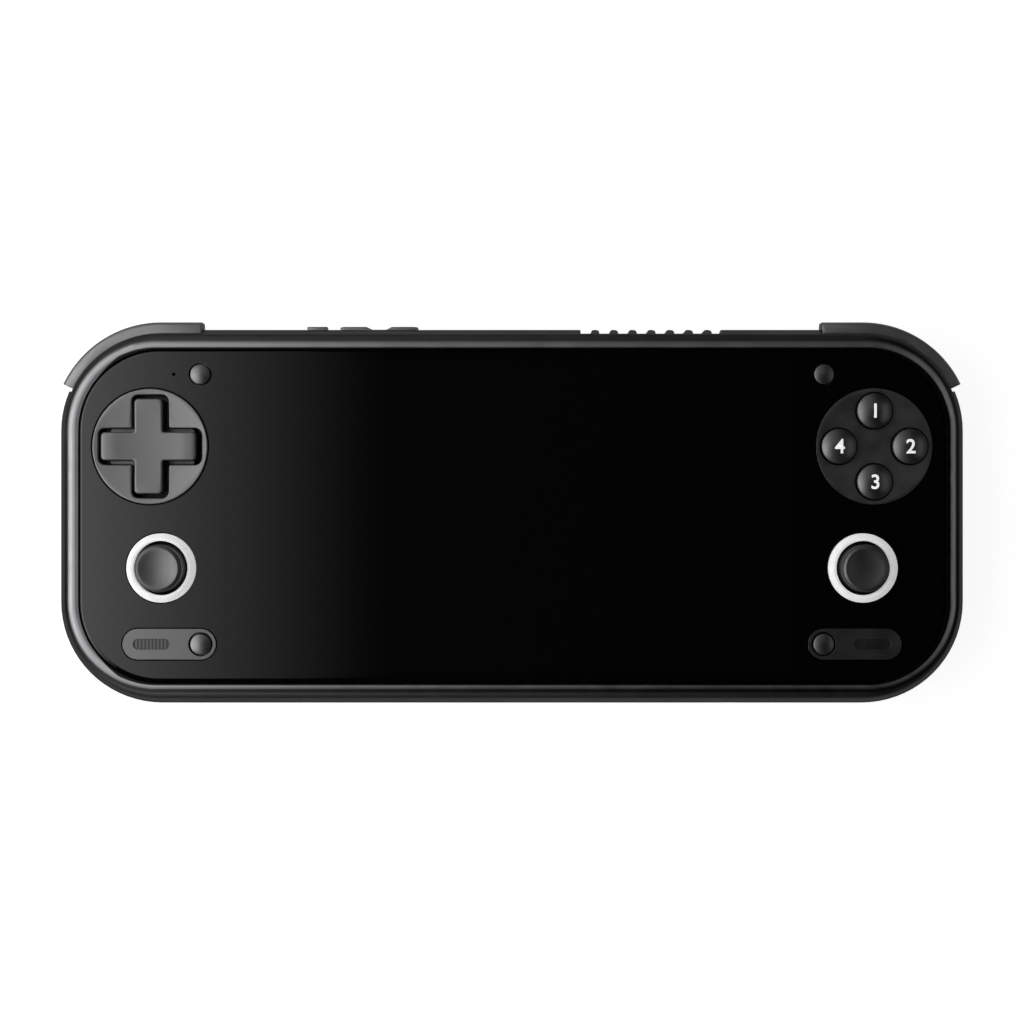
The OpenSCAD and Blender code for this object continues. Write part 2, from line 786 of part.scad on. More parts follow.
// Face buttons: flange heights, flange width, height of the domed top and soft edge
button_flange = [under_z - 1.5, under_z - 0.1];
button_flange_w = 0.9;
button_dome = [1, 0.5];

module face_button(turn) color(mid_grey) {
  at = button_at(turn);
  translate([at[0], at[1], 0]) dome_key(button_r, body_t + button_proud, button_dome, button_flange[0]);
  post(at, button_r + button_flange_w, button_flange);
}

module face_button_right() face_button(0);
module face_button_top() face_button(90);
module face_button_left() face_button(180);
module face_button_bottom() face_button(270);

module face_membrane() color("#55575a") {
  post(disc_at, face_sheet[0], [board_top, board_top + sheet_t]);
  for (turn = [0:90:270]) post(button_at(turn), face_sheet[1], [board_top, button_flange[0]]);
}

// Sticks

// Crest of the ring: its distance from the hole and its drop towards the hole
ring_crest = [0.6, 0.3];

module stick_ring() color(ring_white) translate([stick_at[0], stick_at[1], 0]) rotate_extrude()
  polygon([[ring_hole_r, deck_z], [ring_r, deck_z], [ring_r, body_t + plate_proud],
    [ring_hole_r + ring_crest[0], body_t + ring_proud],
    [ring_hole_r, body_t + ring_proud - ring_crest[1]]]);

module stick_base() color(soft_black) translate([stick_at[0], stick_at[1], 0]) difference() {
  union() {
    block(-base_half * [1, 1], base_half * [1, 1], [base_z, base_top]);
    block(-base_flange * [1, 1], base_flange * [1, 1], [board_z - base_flange_t, board_z]);
  }
  post([0, 0], well_r, [base_z + base_floor, base_top + past]);
  translate([0, 0, stick_z]) rotate([90, 0, 0])
    cylinder(r = stick_pin_r + pin_gap, h = 2 * base_half + 2 * past, center = true);
}

module stick_yoke() color(steel) translate([stick_at[0], stick_at[1], stick_z]) difference() {
  union() {
    difference() {
      cylinder(r = yoke_out, h = yoke_h, center = true);
      cylinder(r = yoke_in, h = yoke_h + past, center = true);
    }
    for (k = [0, 180]) rotate(k) translate([0, yoke_out - bite, 0]) rotate([-90, 0, 0])
      cylinder(r = stick_pin_r, h = base_half - yoke_out);
  }
  rotate([0, 90, 0]) cylinder(r = stick_pin_r + pin_gap, h = 2 * yoke_out + past, center = true);
}

module stick_hub() color(steel) translate([stick_at[0], stick_at[1], stick_z]) difference() {
  union() {
    sphere(hub_r);
    rotate([0, 90, 0]) cylinder(r = stick_pin_r, h = 2 * (yoke_out - pin_end_gap), center = true);
  }
  cylinder(r = shaft_r + pin_gap, h = 3 * hub_r, center = true);
}

// Stick cap: soft edge, depth and radius of the hollow top, neck and socket for the shaft
cap_top = body_t + cap_proud;
cap_edge = 0.8;
cap_hollow = [0.6, 18];
cap_relief = 0.7;
neck_r = 2.3;
socket_z = cap_top - 1.5;
socket_gap = 0.02;
// Skirt: thickness and how far it reaches from the upright
skirt_t = 0.8;
skirt_turn = 50;

module stick_shaft() color(steel) post(stick_at, shaft_r, [stick_z - hub_r, socket_z]);

module stick_cap() color(soft_black) translate([stick_at[0], stick_at[1], 0]) difference() {
  under = cap_top - cap_t;
  flat_r = cap_r - cap_edge;
  union() {
    rotate_extrude() difference() {
      union() {
        translate([0, under]) square([flat_r, cap_t]);
        translate([flat_r, under]) square([cap_edge, cap_t - cap_edge]);
        translate([flat_r, cap_top - cap_edge]) circle(cap_edge);
      }
      translate([0, cap_top - cap_hollow[0] + cap_hollow[1]]) circle(cap_hollow[1], $fn = 128);
    }
    post([0, 0], neck_r, [stick_z + skirt_r - 2 * cap_hollow[0], cap_top - 2 * cap_hollow[0] + bite]);
    rotate_extrude() translate([0, stick_z]) intersection() {
      difference() {
        circle(skirt_r);
        circle(skirt_r - skirt_t);
      }
      polygon([[0, 0], 2 * skirt_r * [sin(skirt_turn), cos(skirt_turn)], [0, 2 * skirt_r]]);
    }
  }
  post([0, 0], shaft_r + socket_gap, [0, socket_z + socket_gap]);
  rotate_extrude() translate([neck_r, under - past]) square([flat_r - neck_r, past + cap_relief]);
}

module left_stick_ring() on_side(-1) stick_ring();
module right_stick_ring() stick_ring();
module left_stick_base() on_side(-1) stick_base();
module right_stick_base() stick_base();
module left_stick_yoke() on_side(-1) stick_yoke();
module right_stick_yoke() stick_yoke();
module left_stick_hub() on_side(-1) stick_hub();
module right_stick_hub() stick_hub();
module left_stick_shaft() on_side(-1) stick_shaft();
module right_stick_shaft() stick_shaft();
module left_stick_cap() on_side(-1) stick_cap();
module right_stick_cap() stick_cap();

// Speaker plates, speakers and small keys

// Depth of the shallow seat of the sound slits
slot_dip = 0.35;

module speaker_plate() color(mid_grey) difference() {
  top = body_t + plate_proud;
  pitch = slot_l / slit_count;
  translate([plate_at[0], plate_at[1], deck_z]) linear_extrude(top - deck_z) pill(plate_l, plate_w);
  post(low_key_at, low_key_r + key_gap, [deck_z - past, body_t + past]);
  translate([slot_at[0], slot_at[1], top - slot_dip]) linear_extrude(slot_dip + past) pill(slot_l, slot_h);
  translate([slot_at[0], slot_at[1], deck_z - past]) linear_extrude(glass_t + past) intersection() {
    pill(slot_l - slot_rim, slot_h - slot_rim);
    for (i = [0:slit_count - 1]) translate([(i - (slit_count - 1) / 2) * pitch, 0])
      square([pitch * slit_part, slot_h], center = true);
  }
}

speaker_half = [7, 4.6];
speaker_t = 5;
// Length, width and depth of the hollow in front of the speaker's cone
speaker_mouth = [11, 6, 1.2];

module speaker() color(soft_black) difference() {
  at = slot_at + [0.6, 0];
  block(at - speaker_half, at + speaker_half, [under_z - speaker_t, under_z]);
  translate([at[0], at[1], under_z - speaker_mouth[2]]) linear_extrude(speaker_mouth[2] + past)
    pill(speaker_mouth[0], speaker_mouth[1]);
}

// Small keys: flange heights, flange width, dome and soft edge, and the foot over the switch
key_flange = [under_z - 1, under_z - 0.1];
key_flange_w = 0.6;
key_dome = [0.45, 0.4];
key_foot = board_top + 2.4;
key_foot_r = 1.1;

module small_key(at, r) color(mid_grey) {
  translate([at[0], at[1], 0]) dome_key(r, body_t + key_proud, key_dome, key_flange[0]);
  post(at, r + key_flange_w, key_flange);
  post(at, key_foot_r, [key_foot, key_flange[0] + bite]);
}

module left_speaker_plate() on_side(-1) speaker_plate();
module right_speaker_plate() speaker_plate();
module left_speaker() on_side(-1) speaker();
module right_speaker() speaker();
module left_top_button() on_side(-1) small_key(top_key_at, top_key_r);
module right_top_button() small_key(top_key_at, top_key_r);
module left_low_button() on_side(-1) small_key(low_key_at, low_key_r);
module right_low_button() small_key(low_key_at, low_key_r);

// Shoulder keys

// Section of a shoulder key, with its front and rear outer edges rounded
module key_section(from, to, z, edges) {
  front = [to - edges[0], z[1] - edges[0]];
  rear = [to - edges[1], z[0] + edges[1]];
  polygon([[from, z[0]], [rear[0], z[0]], rear, [to, rear[1]], [to, front[1]], front, [front[0], z[1]],
    [from, z[1]]]);
  slice(front, edges[0], 0, 90);
  slice(rear, edges[1], -90, 0);
}

module bumper() color(mid_grey) difference() {
  z = [bumper_z[0] + slide_gap, under_z - 2 * slide_gap];
  nub_out = board_corner_r + bumper_nub[0];
  union() {
    round_shoulder(bumper_sweep, bumper_x) key_section(bumper_in, bumper_out, bumper_z, bumper_edge * [1, 1]);
    post(bumper_post_at, bumper_lug_r, z);
    block([bumper_x + bite, bumper_post_at[1]],
      [bumper_post_at[0] + bumper_lug_r, mid_y + bumper_in + bite], z);
    translate([mid_x, mid_y, z[0]]) rotate(switch_turn)
      block([nub_out, -bumper_nub[1]], [bumper_in + bite, bumper_nub[1]], [0, bumper_nub[2]]);
  }
  post(bumper_post_at, bumper_post_r + pin_gap, [0, body_t]);
}

module trigger() color(mid_grey) difference() {
  union() {
    intersection() {
      round_shoulder(90, trigger_x[0]) key_section(trigger_in, trigger_out, trigger_z, trigger_edges);
      block([trigger_x[0], 0], [trigger_x[1], body_h], [0, body_t]);
    }
    for (x = [trigger_x[0], trigger_x[1] - trigger_lug]) {
      top = sqrt(pow(trigger_in, 2) - pow(max(0, x + trigger_lug - mid_x), 2));
      block([x, trigger_pin_at[0]], [x + trigger_lug, mid_y + top + bite], trigger_lug_z);
      along_x(x, x + trigger_lug) translate(trigger_pin_at) circle(trigger_lug_r);
    }
  }
  trigger_pin_hole(pin_gap);
}

module trigger_pins() color(steel) both_sides() trigger_pin_hole(0);

// Coil of wire round a pin along X
spring_l = 5.4;
spring_end_gap = 0.6;
spring_turns = 5;
spring_steps = 12;
spring_r = 1.25;
wire_r = 0.2;
wire_sides = 5;

module coil(from, to) {
  n = spring_turns * spring_steps;
  rings = [for (i = [0:n]) let (a = 360 * i / spring_steps) [for (k = [0:wire_sides - 1])
    let (w = 360 * k / wire_sides, r = spring_r + wire_r * cos(w))
      [from + (to - from) * i / n + wire_r * sin(w), r * cos(a), r * sin(a)]]];
  skin = [for (i = [0:n - 1], k = [0:wire_sides - 1])
    [i * wire_sides + k, i * wire_sides + (k + 1) % wire_sides,
      (i + 1) * wire_sides + (k + 1) % wire_sides, (i + 1) * wire_sides + k]];
  ends = [[for (k = [wire_sides - 1:-1:0]) k], [for (k = [0:wire_sides - 1]) n * wire_sides + k]];
  polyhedron([for (r = rings, p = r) p], concat(skin, ends));
}

module trigger_springs() color(steel) both_sides()
  translate([0, trigger_pin_at[0], trigger_pin_at[1]])
    coil(trigger_x[0] + trigger_lug + spring_end_gap, trigger_x[0] + trigger_lug + spring_end_gap + spring_l);

module left_bumper() on_side(-1) bumper();
module right_bumper() bumper();
module left_trigger() on_side(-1) trigger();
module right_trigger() trigger();

// Edge keys

// Flange of the power key: its overhang at the ends, its thickness and its overhang up and down
power_flange = [0.9, 0.8, 0.3];

module power_button() color(mid_grey) {
  x = power_l / 2;
  flange = x + power_flange[0];
  block([power_x - x, edge_in - bite], [power_x + x, half_h + edge_key_proud], edge_z);
  block([power_x - flange, edge_in - power_flange[1]], [power_x + flange, edge_in],
    edge_z + power_flange[2] * [-1, 1]);
  block([power_x - edge_nub_half, edge_nub_in], [power_x + edge_nub_half, edge_in - bite],
    [bow_z - edge_nub_half, bow_z + edge_nub_half]);
}

module volume_rocker() color(mid_grey) {
  x = rocker_l / 2;
  top = half_h + edge_key_proud;
  low = top - rocker_slope[1];
  flat = x - rocker_slope[0];
  translate([rocker_x, 0, edge_z[0]]) linear_extrude(edge_z[1] - edge_z[0]) difference() {
    union() {
      polygon([[-x, edge_in], [x, edge_in], [x, low], [flat, top], [rocker_dip[1], top],
        [rocker_dip[0], half_h], [-rocker_dip[0], half_h], [-rocker_dip[1], top], [-flat, top], [-x, low]]);
      translate([0, rocker_post_at[1]]) circle(rocker_lug_r);
      translate([-rocker_lug_r, rocker_post_at[1]])
        square([2 * rocker_lug_r, edge_in - rocker_post_at[1] + bite]);
      for (s = [-1, 1]) translate([s * rocker_nub - edge_nub_half, edge_nub_in])
        square([2 * edge_nub_half, edge_in - edge_nub_in + bite]);
    }
    translate([0, rocker_post_at[1]]) circle(rocker_post_r + pin_gap);
  }
}

// Boards and what they carry

board_corner_r = 17;
board_disc_r = 12.4;
board_in = half_w - 35.3;
board_low_y = plate_y + 5.15;
cut_gap = 0.2;
// Processor: middle, half sizes and thickness
chip_at = [main_to[0] - 22.5, main_from[1] + 15.4];
chip_half = [8, 8];
chip_t = 1.3;

module main_board() color(board_green) difference() {
  union() {
    block(main_from, main_to, [board_z, board_top]);
    block(chip_at - chip_half, chip_at + chip_half, [board_z - chip_t, board_z + bite]);
  }
  for (p = main_at) post(p, inner_thread[0] + hole_gap, [0, body_t]);
}

module control_board() color(board_green) difference() {
  z = [board_z, board_top];
  union() {
    block([board_in, board_low_y], [half_w - 9.5, disc_at[1]], z);
    block([board_in, 0], [mid_x + 2, half_h - 7.3], z);
    block([board_in, 10.1 - half_h], [low_key_at[0] + 3.9, board_low_y + bite], z);
    post(disc_at, board_disc_r, z);
    post([mid_x, mid_y], board_corner_r, z);
  }
  hole = (base_half + cut_gap) * [1, 1];
  block(stick_at - hole, stick_at + hole, z + [-past, past]);
  for (p = board_at) post(p, inner_thread[0] + hole_gap, [0, body_t]);
}

module left_board() on_side(-1) control_board();
module right_board() control_board();

module port_board() color(board_green) difference() {
  block(ports_from, ports_to, [board_z, board_top]);
  port_cut = port_w / 2 + port_wall + cut_gap;
  jack_cut = jack_half + cut_gap;
  block([port_x - port_cut, -half_h], [port_x + port_cut, mouth_in + port_l + cut_gap - half_h], [0, body_t]);
  block([jack_x - jack_cut, -half_h], [jack_x + jack_cut, mouth_in + jack_l + cut_gap - half_h], [0, body_t]);
  for (p = ports_at) post(p, inner_thread[0] + hole_gap, [0, body_t]);
}

// Push switch with its foot at the origin and its plunger along Z
switch_w = 3;
switch_t = 1.6;
plunger_r = 0.8;
plunger_l = 0.35;
// Height of a switch that lies on its side, over the board
side_switch_z = board_top + switch_w / 2;

module switch() {
  translate([-switch_w / 2, -switch_w / 2, 0]) cube([switch_w, switch_w, switch_t]);
  cylinder(r = plunger_r, h = switch_t + plunger_l);
}

module tact_switches() color(steel) {
  both_sides() {
    for (p = [top_key_at, low_key_at]) translate([p[0], p[1], board_top]) switch();
    translate([mid_x, mid_y, side_switch_z]) rotate([0, 90, switch_turn])
      translate([0, 0, board_corner_r - switch_t]) switch();
  }
  for (x = [power_x, rocker_x - rocker_nub, rocker_x + rocker_nub])
    translate([x, edge_switch_y, side_switch_z]) rotate([-90, 0, 0]) switch();
}

// Heat sink: plate on the processor, strip to the fan's outlet, and upright fins
sink_t = 1.2;
sink_plate = [[main_to[0] - 40.5, main_from[1] + 5.4], [main_to[0] + 0.5, half_h - 6]];
sink_strip_x = main_to[0] - 32.5;
fin_y = [half_h - 9.2, half_h - 3];
fin_x = [fan_at[0] - 16.5, fan_at[0] + 16.5];
fin_count = 16;
fin_t = 0.5;

module heat_sink() color("#b07a4a") {
  z = [board_z - chip_t - sink_t, board_z - chip_t];
  pitch = (fin_x[1] - fin_x[0] - fin_t) / (fin_count - 1);
  block(sink_plate[0], sink_plate[1], z);
  block([sink_strip_x, fin_y[0]], [fin_x[1], fin_y[1]], z);
  for (i = [0:fin_count - 1]) translate([fin_x[0] + i * pitch, 0, 0])
    block([0, fin_y[0]], [fin_t, fin_y[1]], [step_z + bite, mid_under - bite]);
}

// Fan: half width of the outlet, radius of the inlet, rotor clearance all round and its blades
fan_outlet = 13.6;
fan_inlet_r = 10;
rotor_gap = [1.1, 0.4, 0.3];
fan_hub_r = 5;
blade_count = 15;
blade_t = 0.7;
blade_root = [4, 1.6];
blade_turn = -16;
blade_l = rotor_r - 4.6;

module fan_housing() color(soft_black) difference() {
  inside = fan_z + fan_wall * [1, -1];
  half = fan_half * [1, 1];
  union() {
    difference() {
      block(fan_at - half, fan_at + half, fan_z);
      post(fan_at, rotor_r + rotor_gap[0], inside);
      block(fan_at - [fan_outlet, 0], fan_at + [fan_outlet, fan_half + past], inside);
      post(fan_at, fan_inlet_r, [0, inside[0] + bite]);
    }
    post(fan_at, fan_shaft_r, [inside[0] + rotor_gap[1], inside[1] + bite]);
  }
  for (p = fan_ears) post(p, inner_thread[0] + hole_gap, [0, body_t]);
}

module fan_rotor() color(mid_grey) {
  z = [fan_z[0] + fan_wall + rotor_gap[1], fan_z[1] - fan_wall - rotor_gap[2]];
  translate([fan_at[0], fan_at[1], 0]) difference() {
    union() {
      post([0, 0], fan_hub_r, z);
      for (i = [0:blade_count - 1]) rotate(i * 360 / blade_count) translate(blade_root) rotate(blade_turn)
        block([0, -blade_t / 2], [blade_l, blade_t / 2], z + slide_gap * [1, -1]);
    }
    post([0, 0], fan_shaft_r + pin_gap, [0, body_t]);
  }
}

module battery() color("#2f3136") block(battery_from, battery_to, [mid_under - battery_t, mid_under]);

// Sockets and card flap

// Outline of the charging port's mouth, grown by a given amount
module port_outline(grow) {
  hz = port_h / 2 + grow;
  round_rect(port_w / 2 + grow, hz, hz - 0.1);
}

// Feet of the sockets on the board: half width, half depth and thickness
foot_half = 0.8;
foot_t = 0.4;
foot_z = [board_t / 2, board_t / 2 + foot_t];

module usb_port() color(steel) translate([port_x, mouth_in - half_h, split_z]) {
  difference() {
    translate([0, port_l, 0]) rotate([90, 0, 0]) linear_extrude(port_l) port_outline(port_wall);
    translate([0, port_l - 2 * port_wall, 0]) rotate([90, 0, 0]) linear_extrude(port_l) port_outline(0);
  }
  block([-port_tongue[0], landing + bite], [port_tongue[0], port_l - port_wall], port_tongue[1] * [-1, 1]);
  for (s = [-1, 1]) translate([s * (port_w / 2 + port_wall + foot_half / 2), port_l / 2, 0])
    block(-foot_half * [1, 1], foot_half * [1, 1], foot_z);
}

module headphone_jack() color(soft_black) translate([jack_x, mouth_in - half_h, split_z]) difference() {
  foot = jack_half + foot_half;
  union() {
    rotate([-90, 0, 0]) cylinder(r = jack_nose_r, h = wall + past);
    block([-jack_half, wall], [jack_half, jack_l], jack_half_t * [-1, 1]);
    block([-foot, jack_l / 2], [foot, jack_l / 2 + 2 * foot_half], foot_z);
  }
  translate([0, -past, 0]) rotate([-90, 0, 0]) cylinder(r = jack_bore_r, h = jack_bore_l + past);
}

reader_t = 2;
card_depth = 12.8;

module card_reader() color(steel) difference() {
  x = card_w / 2;
  block([card_x - x, reader_y[0]], [card_x + x, reader_y[1]], [board_top, board_top + reader_t]);
  block([card_x - card_slot[0] / 2, -half_h], [card_x + card_slot[0] / 2, reader_y[0] + card_depth],
    [card_slot_z, card_slot_z + card_slot[1]]);
}

module card_flap() color(shell) translate([card_x, 0, 0]) rotate(180) {
  along_x(-flap_l / 2, flap_l / 2) translate([mid_y, 0]) {
    side_band(corner_r - flap_t, flap_z[0], flap_z[1]);
    translate(barrel_at) circle(barrel_r);
  }
  pin = flap_l / 2 + flap_pin_l - pin_end_gap;
  along_x(-pin, pin) translate([mid_y, 0]) translate(barrel_at) circle(flap_pin_r);
}

front_housing();
rear_cover();
cover_glass();
display_panel();
mid_plate();
case_screws();
inner_screws();
d_pad_bezel();
d_pad();
d_pad_pivot();
d_pad_membrane();
face_bezel();
face_button_top();
face_button_right();
face_button_bottom();
face_button_left();
face_membrane();
left_stick_ring();
right_stick_ring();
left_stick_base();
right_stick_base();
left_stick_yoke();
right_stick_yoke();
left_stick_hub();
right_stick_hub();
left_stick_shaft();
right_stick_shaft();
left_stick_cap();
right_stick_cap();
left_speaker_plate();
right_speaker_plate();
left_speaker();
right_speaker();
left_top_button();
right_top_button();
left_low_button();
right_low_button();
left_bumper();
right_bumper();
left_trigger();
right_trigger();
trigger_pins();
trigger_springs();
power_button();
volume_rocker();
main_board();
left_board();
right_board();
port_board();
tact_switches();
heat_sink();
fan_housing();
fan_rotor();
battery();
usb_port();
headphone_jack();
card_reader();
card_flap();
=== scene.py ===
import math

import bmesh
import bpy
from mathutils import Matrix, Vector
from mathutils.bvhtree import BVHTree


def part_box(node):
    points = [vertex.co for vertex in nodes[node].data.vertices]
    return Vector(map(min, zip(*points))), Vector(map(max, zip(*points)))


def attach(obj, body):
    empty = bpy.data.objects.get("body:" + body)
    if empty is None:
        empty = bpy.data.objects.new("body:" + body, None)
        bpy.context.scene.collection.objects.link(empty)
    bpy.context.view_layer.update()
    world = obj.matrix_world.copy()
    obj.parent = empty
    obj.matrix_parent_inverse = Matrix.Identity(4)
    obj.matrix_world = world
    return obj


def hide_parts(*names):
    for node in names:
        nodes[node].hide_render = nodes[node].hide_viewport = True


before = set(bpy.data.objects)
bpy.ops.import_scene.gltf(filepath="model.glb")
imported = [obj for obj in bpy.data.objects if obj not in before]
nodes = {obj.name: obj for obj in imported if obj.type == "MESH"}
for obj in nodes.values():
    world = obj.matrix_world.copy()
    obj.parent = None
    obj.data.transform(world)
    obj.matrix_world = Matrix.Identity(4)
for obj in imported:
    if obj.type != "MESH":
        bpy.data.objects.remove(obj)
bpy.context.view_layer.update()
scene = bpy.context.scene
scene.view_settings.view_transform = "Standard"

# Lengths are in millimetres and become metres with MM, save on the stage, which is in metres.
MM = 0.001
SIDES = (("left", -1), ("right", 1))
TURNS = ("top", "right", "bottom", "left")


# Places read from the frame
def middle(node):
    low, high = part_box(node)
    return (low.x + high.x) / 2 / MM, (low.y + high.y) / 2 / MM


def bottom_of(node):
    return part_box(node)[0].z / MM


def top_of(node):
    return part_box(node)[1].z / MM


# Centres of the outline's round corners, and of the lip round the glass, which lies a little higher
CORNER_R = 23.6
CORNER_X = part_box("front_housing")[1].x / MM - CORNER_R
CORNER_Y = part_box("front_housing")[1].y / MM - CORNER_R
LIP_X = CORNER_X + 0.8
LIP_Y = CORNER_Y - 0.1
LIP_UP = 0.3
# Where, going right, the glass's matt seal and the housing's painted black shade begin
SEAL_START = (-98, -91)


# Node helpers
class Nodes:
    """A node tree. What its helpers take as a value is a socket, a number or a vector."""

    def __init__(self, tree):
        self.tree = tree

    def add(self, kind, **settings):
        node = self.tree.nodes.new(kind)
        for key, value in settings.items():
            setattr(node, key, value)
        return node

    def feed(self, slot, value):
        if hasattr(value, "links"):
            self.tree.links.new(value, slot)
        else:
            slot.default_value = value

    def fill(self, node, **values):
        """Feeds inputs by their names, with _ for each blank."""
        for key, value in values.items():
            self.feed(node.inputs[key.replace("_", " ")], value)

    def calc(self, operation, *values):
        node = self.add("ShaderNodeMath", operation=operation)
        for slot, value in zip(node.inputs, values):
            self.feed(slot, value)
        return node.outputs[0]

    def vector(self, operation, *values):
        node = self.add("ShaderNodeVectorMath", operation=operation)
        for slot, value in zip(node.inputs, values):
            self.feed(slot, value)
        return node.outputs["Value" if operation in ("DOT_PRODUCT", "LENGTH") else "Vector"]

    def along(self, axis, kind="Object"):
        """The place along one axis."""
        split = self.add("ShaderNodeSeparateXYZ")
        self.feed(split.inputs[0], self.add("ShaderNodeTexCoord").outputs[kind])
        return split.outputs[axis]

    def spread(self, value, low, high, start=0.3, stop=0.7, **settings):
        """Runs from low to high while the value runs from start to stop."""
        node = self.add("ShaderNodeMapRange", **settings)
        self.fill(node, Value=value, From_Min=start, From_Max=stop, To_Min=low, To_Max=high)
        return node.outputs["Result"]

    def ramp(self, length, low, high, reach):
        """Runs from low to high while a length runs over a reach, which is in millimetres."""
        return self.spread(length, low, high, reach[0] * MM, reach[1] * MM)

    def band(self, length, rise, fall):
        """1 between two soft borders and 0 outside them. Each border is a reach in millimetres."""
        return self.calc("MULTIPLY", self.ramp(length, 0, 1, rise), self.ramp(length, 1, 0, fall))


class Shader(Nodes):
    """A material with a Principled shader."""

    def __init__(self, name):
        self.mat = bpy.data.materials.new(name)
        self.mat.use_nodes = True
        super().__init__(self.mat.node_tree)
        self.bsdf = self.tree.nodes["Principled BSDF"]
        self.place = self.add("ShaderNodeTexCoord").outputs["Object"]

    def put(self, **values):
        self.fill(self.bsdf, **values)

    def noise(self, scale, detail=3.0, rough=0.55, stretch=None):
        """Cloudy noise. The scale counts its cells on a metre."""
        node = self.add("ShaderNodeTexNoise")
        place = self.place
        if stretch:
            turned = self.add("ShaderNodeMapping")
            self.fill(turned, Vector=place, Scale=stretch)
            place = turned.outputs["Vector"]
        self.fill(node, Vector=place, Scale=scale, Detail=detail, Roughness=rough)
        return node.outputs["Fac"]

    def two_tone(self, factor, first, second):
        """Mixes two colours, each a socket or three numbers."""
        mix = self.add("ShaderNodeMix", data_type="RGBA")
        self.feed(mix.inputs["Factor"], factor)
        for name, colour in (("A", first), ("B", second)):
            slot = [i for i in mix.inputs if i.name == name and i.type == "RGBA"][0]
            self.feed(slot, colour if hasattr(colour, "links") else (*colour, 1))
        return [o for o in mix.outputs if o.type == "RGBA"][0]

    def rounded(self, radius):
        """Normals that are rounded over sharp edges."""
        node = self.add("ShaderNodeBevel", samples=4)
        self.fill(node, Radius=radius)
        return node.outputs["Normal"]

    def bump(self, height, distance, strength, soft):
        """Grain, on normals that are rounded over sharp edges where soft gives a radius."""
        node = self.add("ShaderNodeBump")
        self.fill(node, Strength=strength, Distance=distance, Height=height)
        if soft:
            self.fill(node, Normal=self.rounded(soft))
        self.put(Normal=node.outputs["Normal"])

    def edges(self, radius):
        """1 on sharp edges, 0 on open faces: how far the rounded normal turns from the flat one."""
        edge_cosine, face_cosine = 0.75, 0.98
        flat = self.add("ShaderNodeNewGeometry").outputs["Normal"]
        cosine = self.vector("DOT_PRODUCT", self.rounded(radius), flat)
        return self.spread(cosine, 1, 0, edge_cosine, face_cosine)

    def from_corners(self, x=CORNER_X, y=CORNER_Y, up=0.0):
        """Distance from the box between corner centres: equal all along the outline."""
        over_any_height = 1
        folded = self.vector("ABSOLUTE", self.vector("SUBTRACT", self.place, (0, up * MM, 0)))
        past = self.vector("SUBTRACT", folded, (x * MM, y * MM, over_any_height))
        return self.vector("LENGTH", self.vector("MAXIMUM", past, (0, 0, 0)))


# Materials: every one is made of nodes, with colour and gloss that vary over the surface.
def plastic(name, colour, rough, grain=0.15, depth=0.004, spec=0.5, soft=0.12, wear=0.25, tone=0.1,
            metallic=0.0, edge=1.0, ior=1.5):
    """Moulded plastic or satin paint: fine grain, slow changes of tone and gloss, edges rubbed lighter."""
    tone_scale, gloss_scale, rub_scale = 55, 240, 900
    gloss_change, grain_strength = 0.05, 0.6
    rub_width, rub_gain, rub_lift = 0.25, 1.6, 0.02
    s = Shader(name)
    darker = [c * (1 - tone) for c in colour]
    lighter = [c * (1 + tone) for c in colour]
    base = s.two_tone(s.spread(s.noise(tone_scale, detail=4), 0, 1), darker, lighter)
    if wear:
        rub = s.calc("MULTIPLY", s.edges(rub_width * MM), s.spread(s.noise(rub_scale, detail=2), 0, wear))
        base = s.two_tone(rub, base, [min(1, c * rub_gain + rub_lift) for c in colour])
    gloss = s.spread(s.noise(gloss_scale, detail=3), rough - gloss_change, rough + gloss_change)
    s.put(Specular_IOR_Level=spec, Metallic=metallic, Specular_Tint=(edge, edge, edge, 1), IOR=ior)
    s.put(Base_Color=base, Roughness=gloss)
    s.bump(s.noise(1 / (grain * MM), detail=2), depth * MM, grain_strength, soft * MM)
    return s


def metal(name, colour, rough, brushed=None, soft=0.05):
    """Metal with fine drawn lines and duller patches."""
    patch_scale, gloss_scale, line_scale = 400, 700, 2500
    dull, smoother, rougher = 0.86, 0.08, 0.1
    line_depth, line_strength = 0.003, 0.5
    s = Shader(name)
    base = s.two_tone(s.spread(s.noise(patch_scale, detail=4), 0, 1), [c * dull for c in colour], colour)
    gloss = s.spread(s.noise(gloss_scale, detail=3, stretch=brushed), rough - smoother, rough + rougher)
    s.put(Metallic=1.0, Base_Color=base, Roughness=gloss)
    s.bump(s.noise(line_scale, detail=2, stretch=brushed), line_depth * MM, line_strength, soft * MM)
    return s


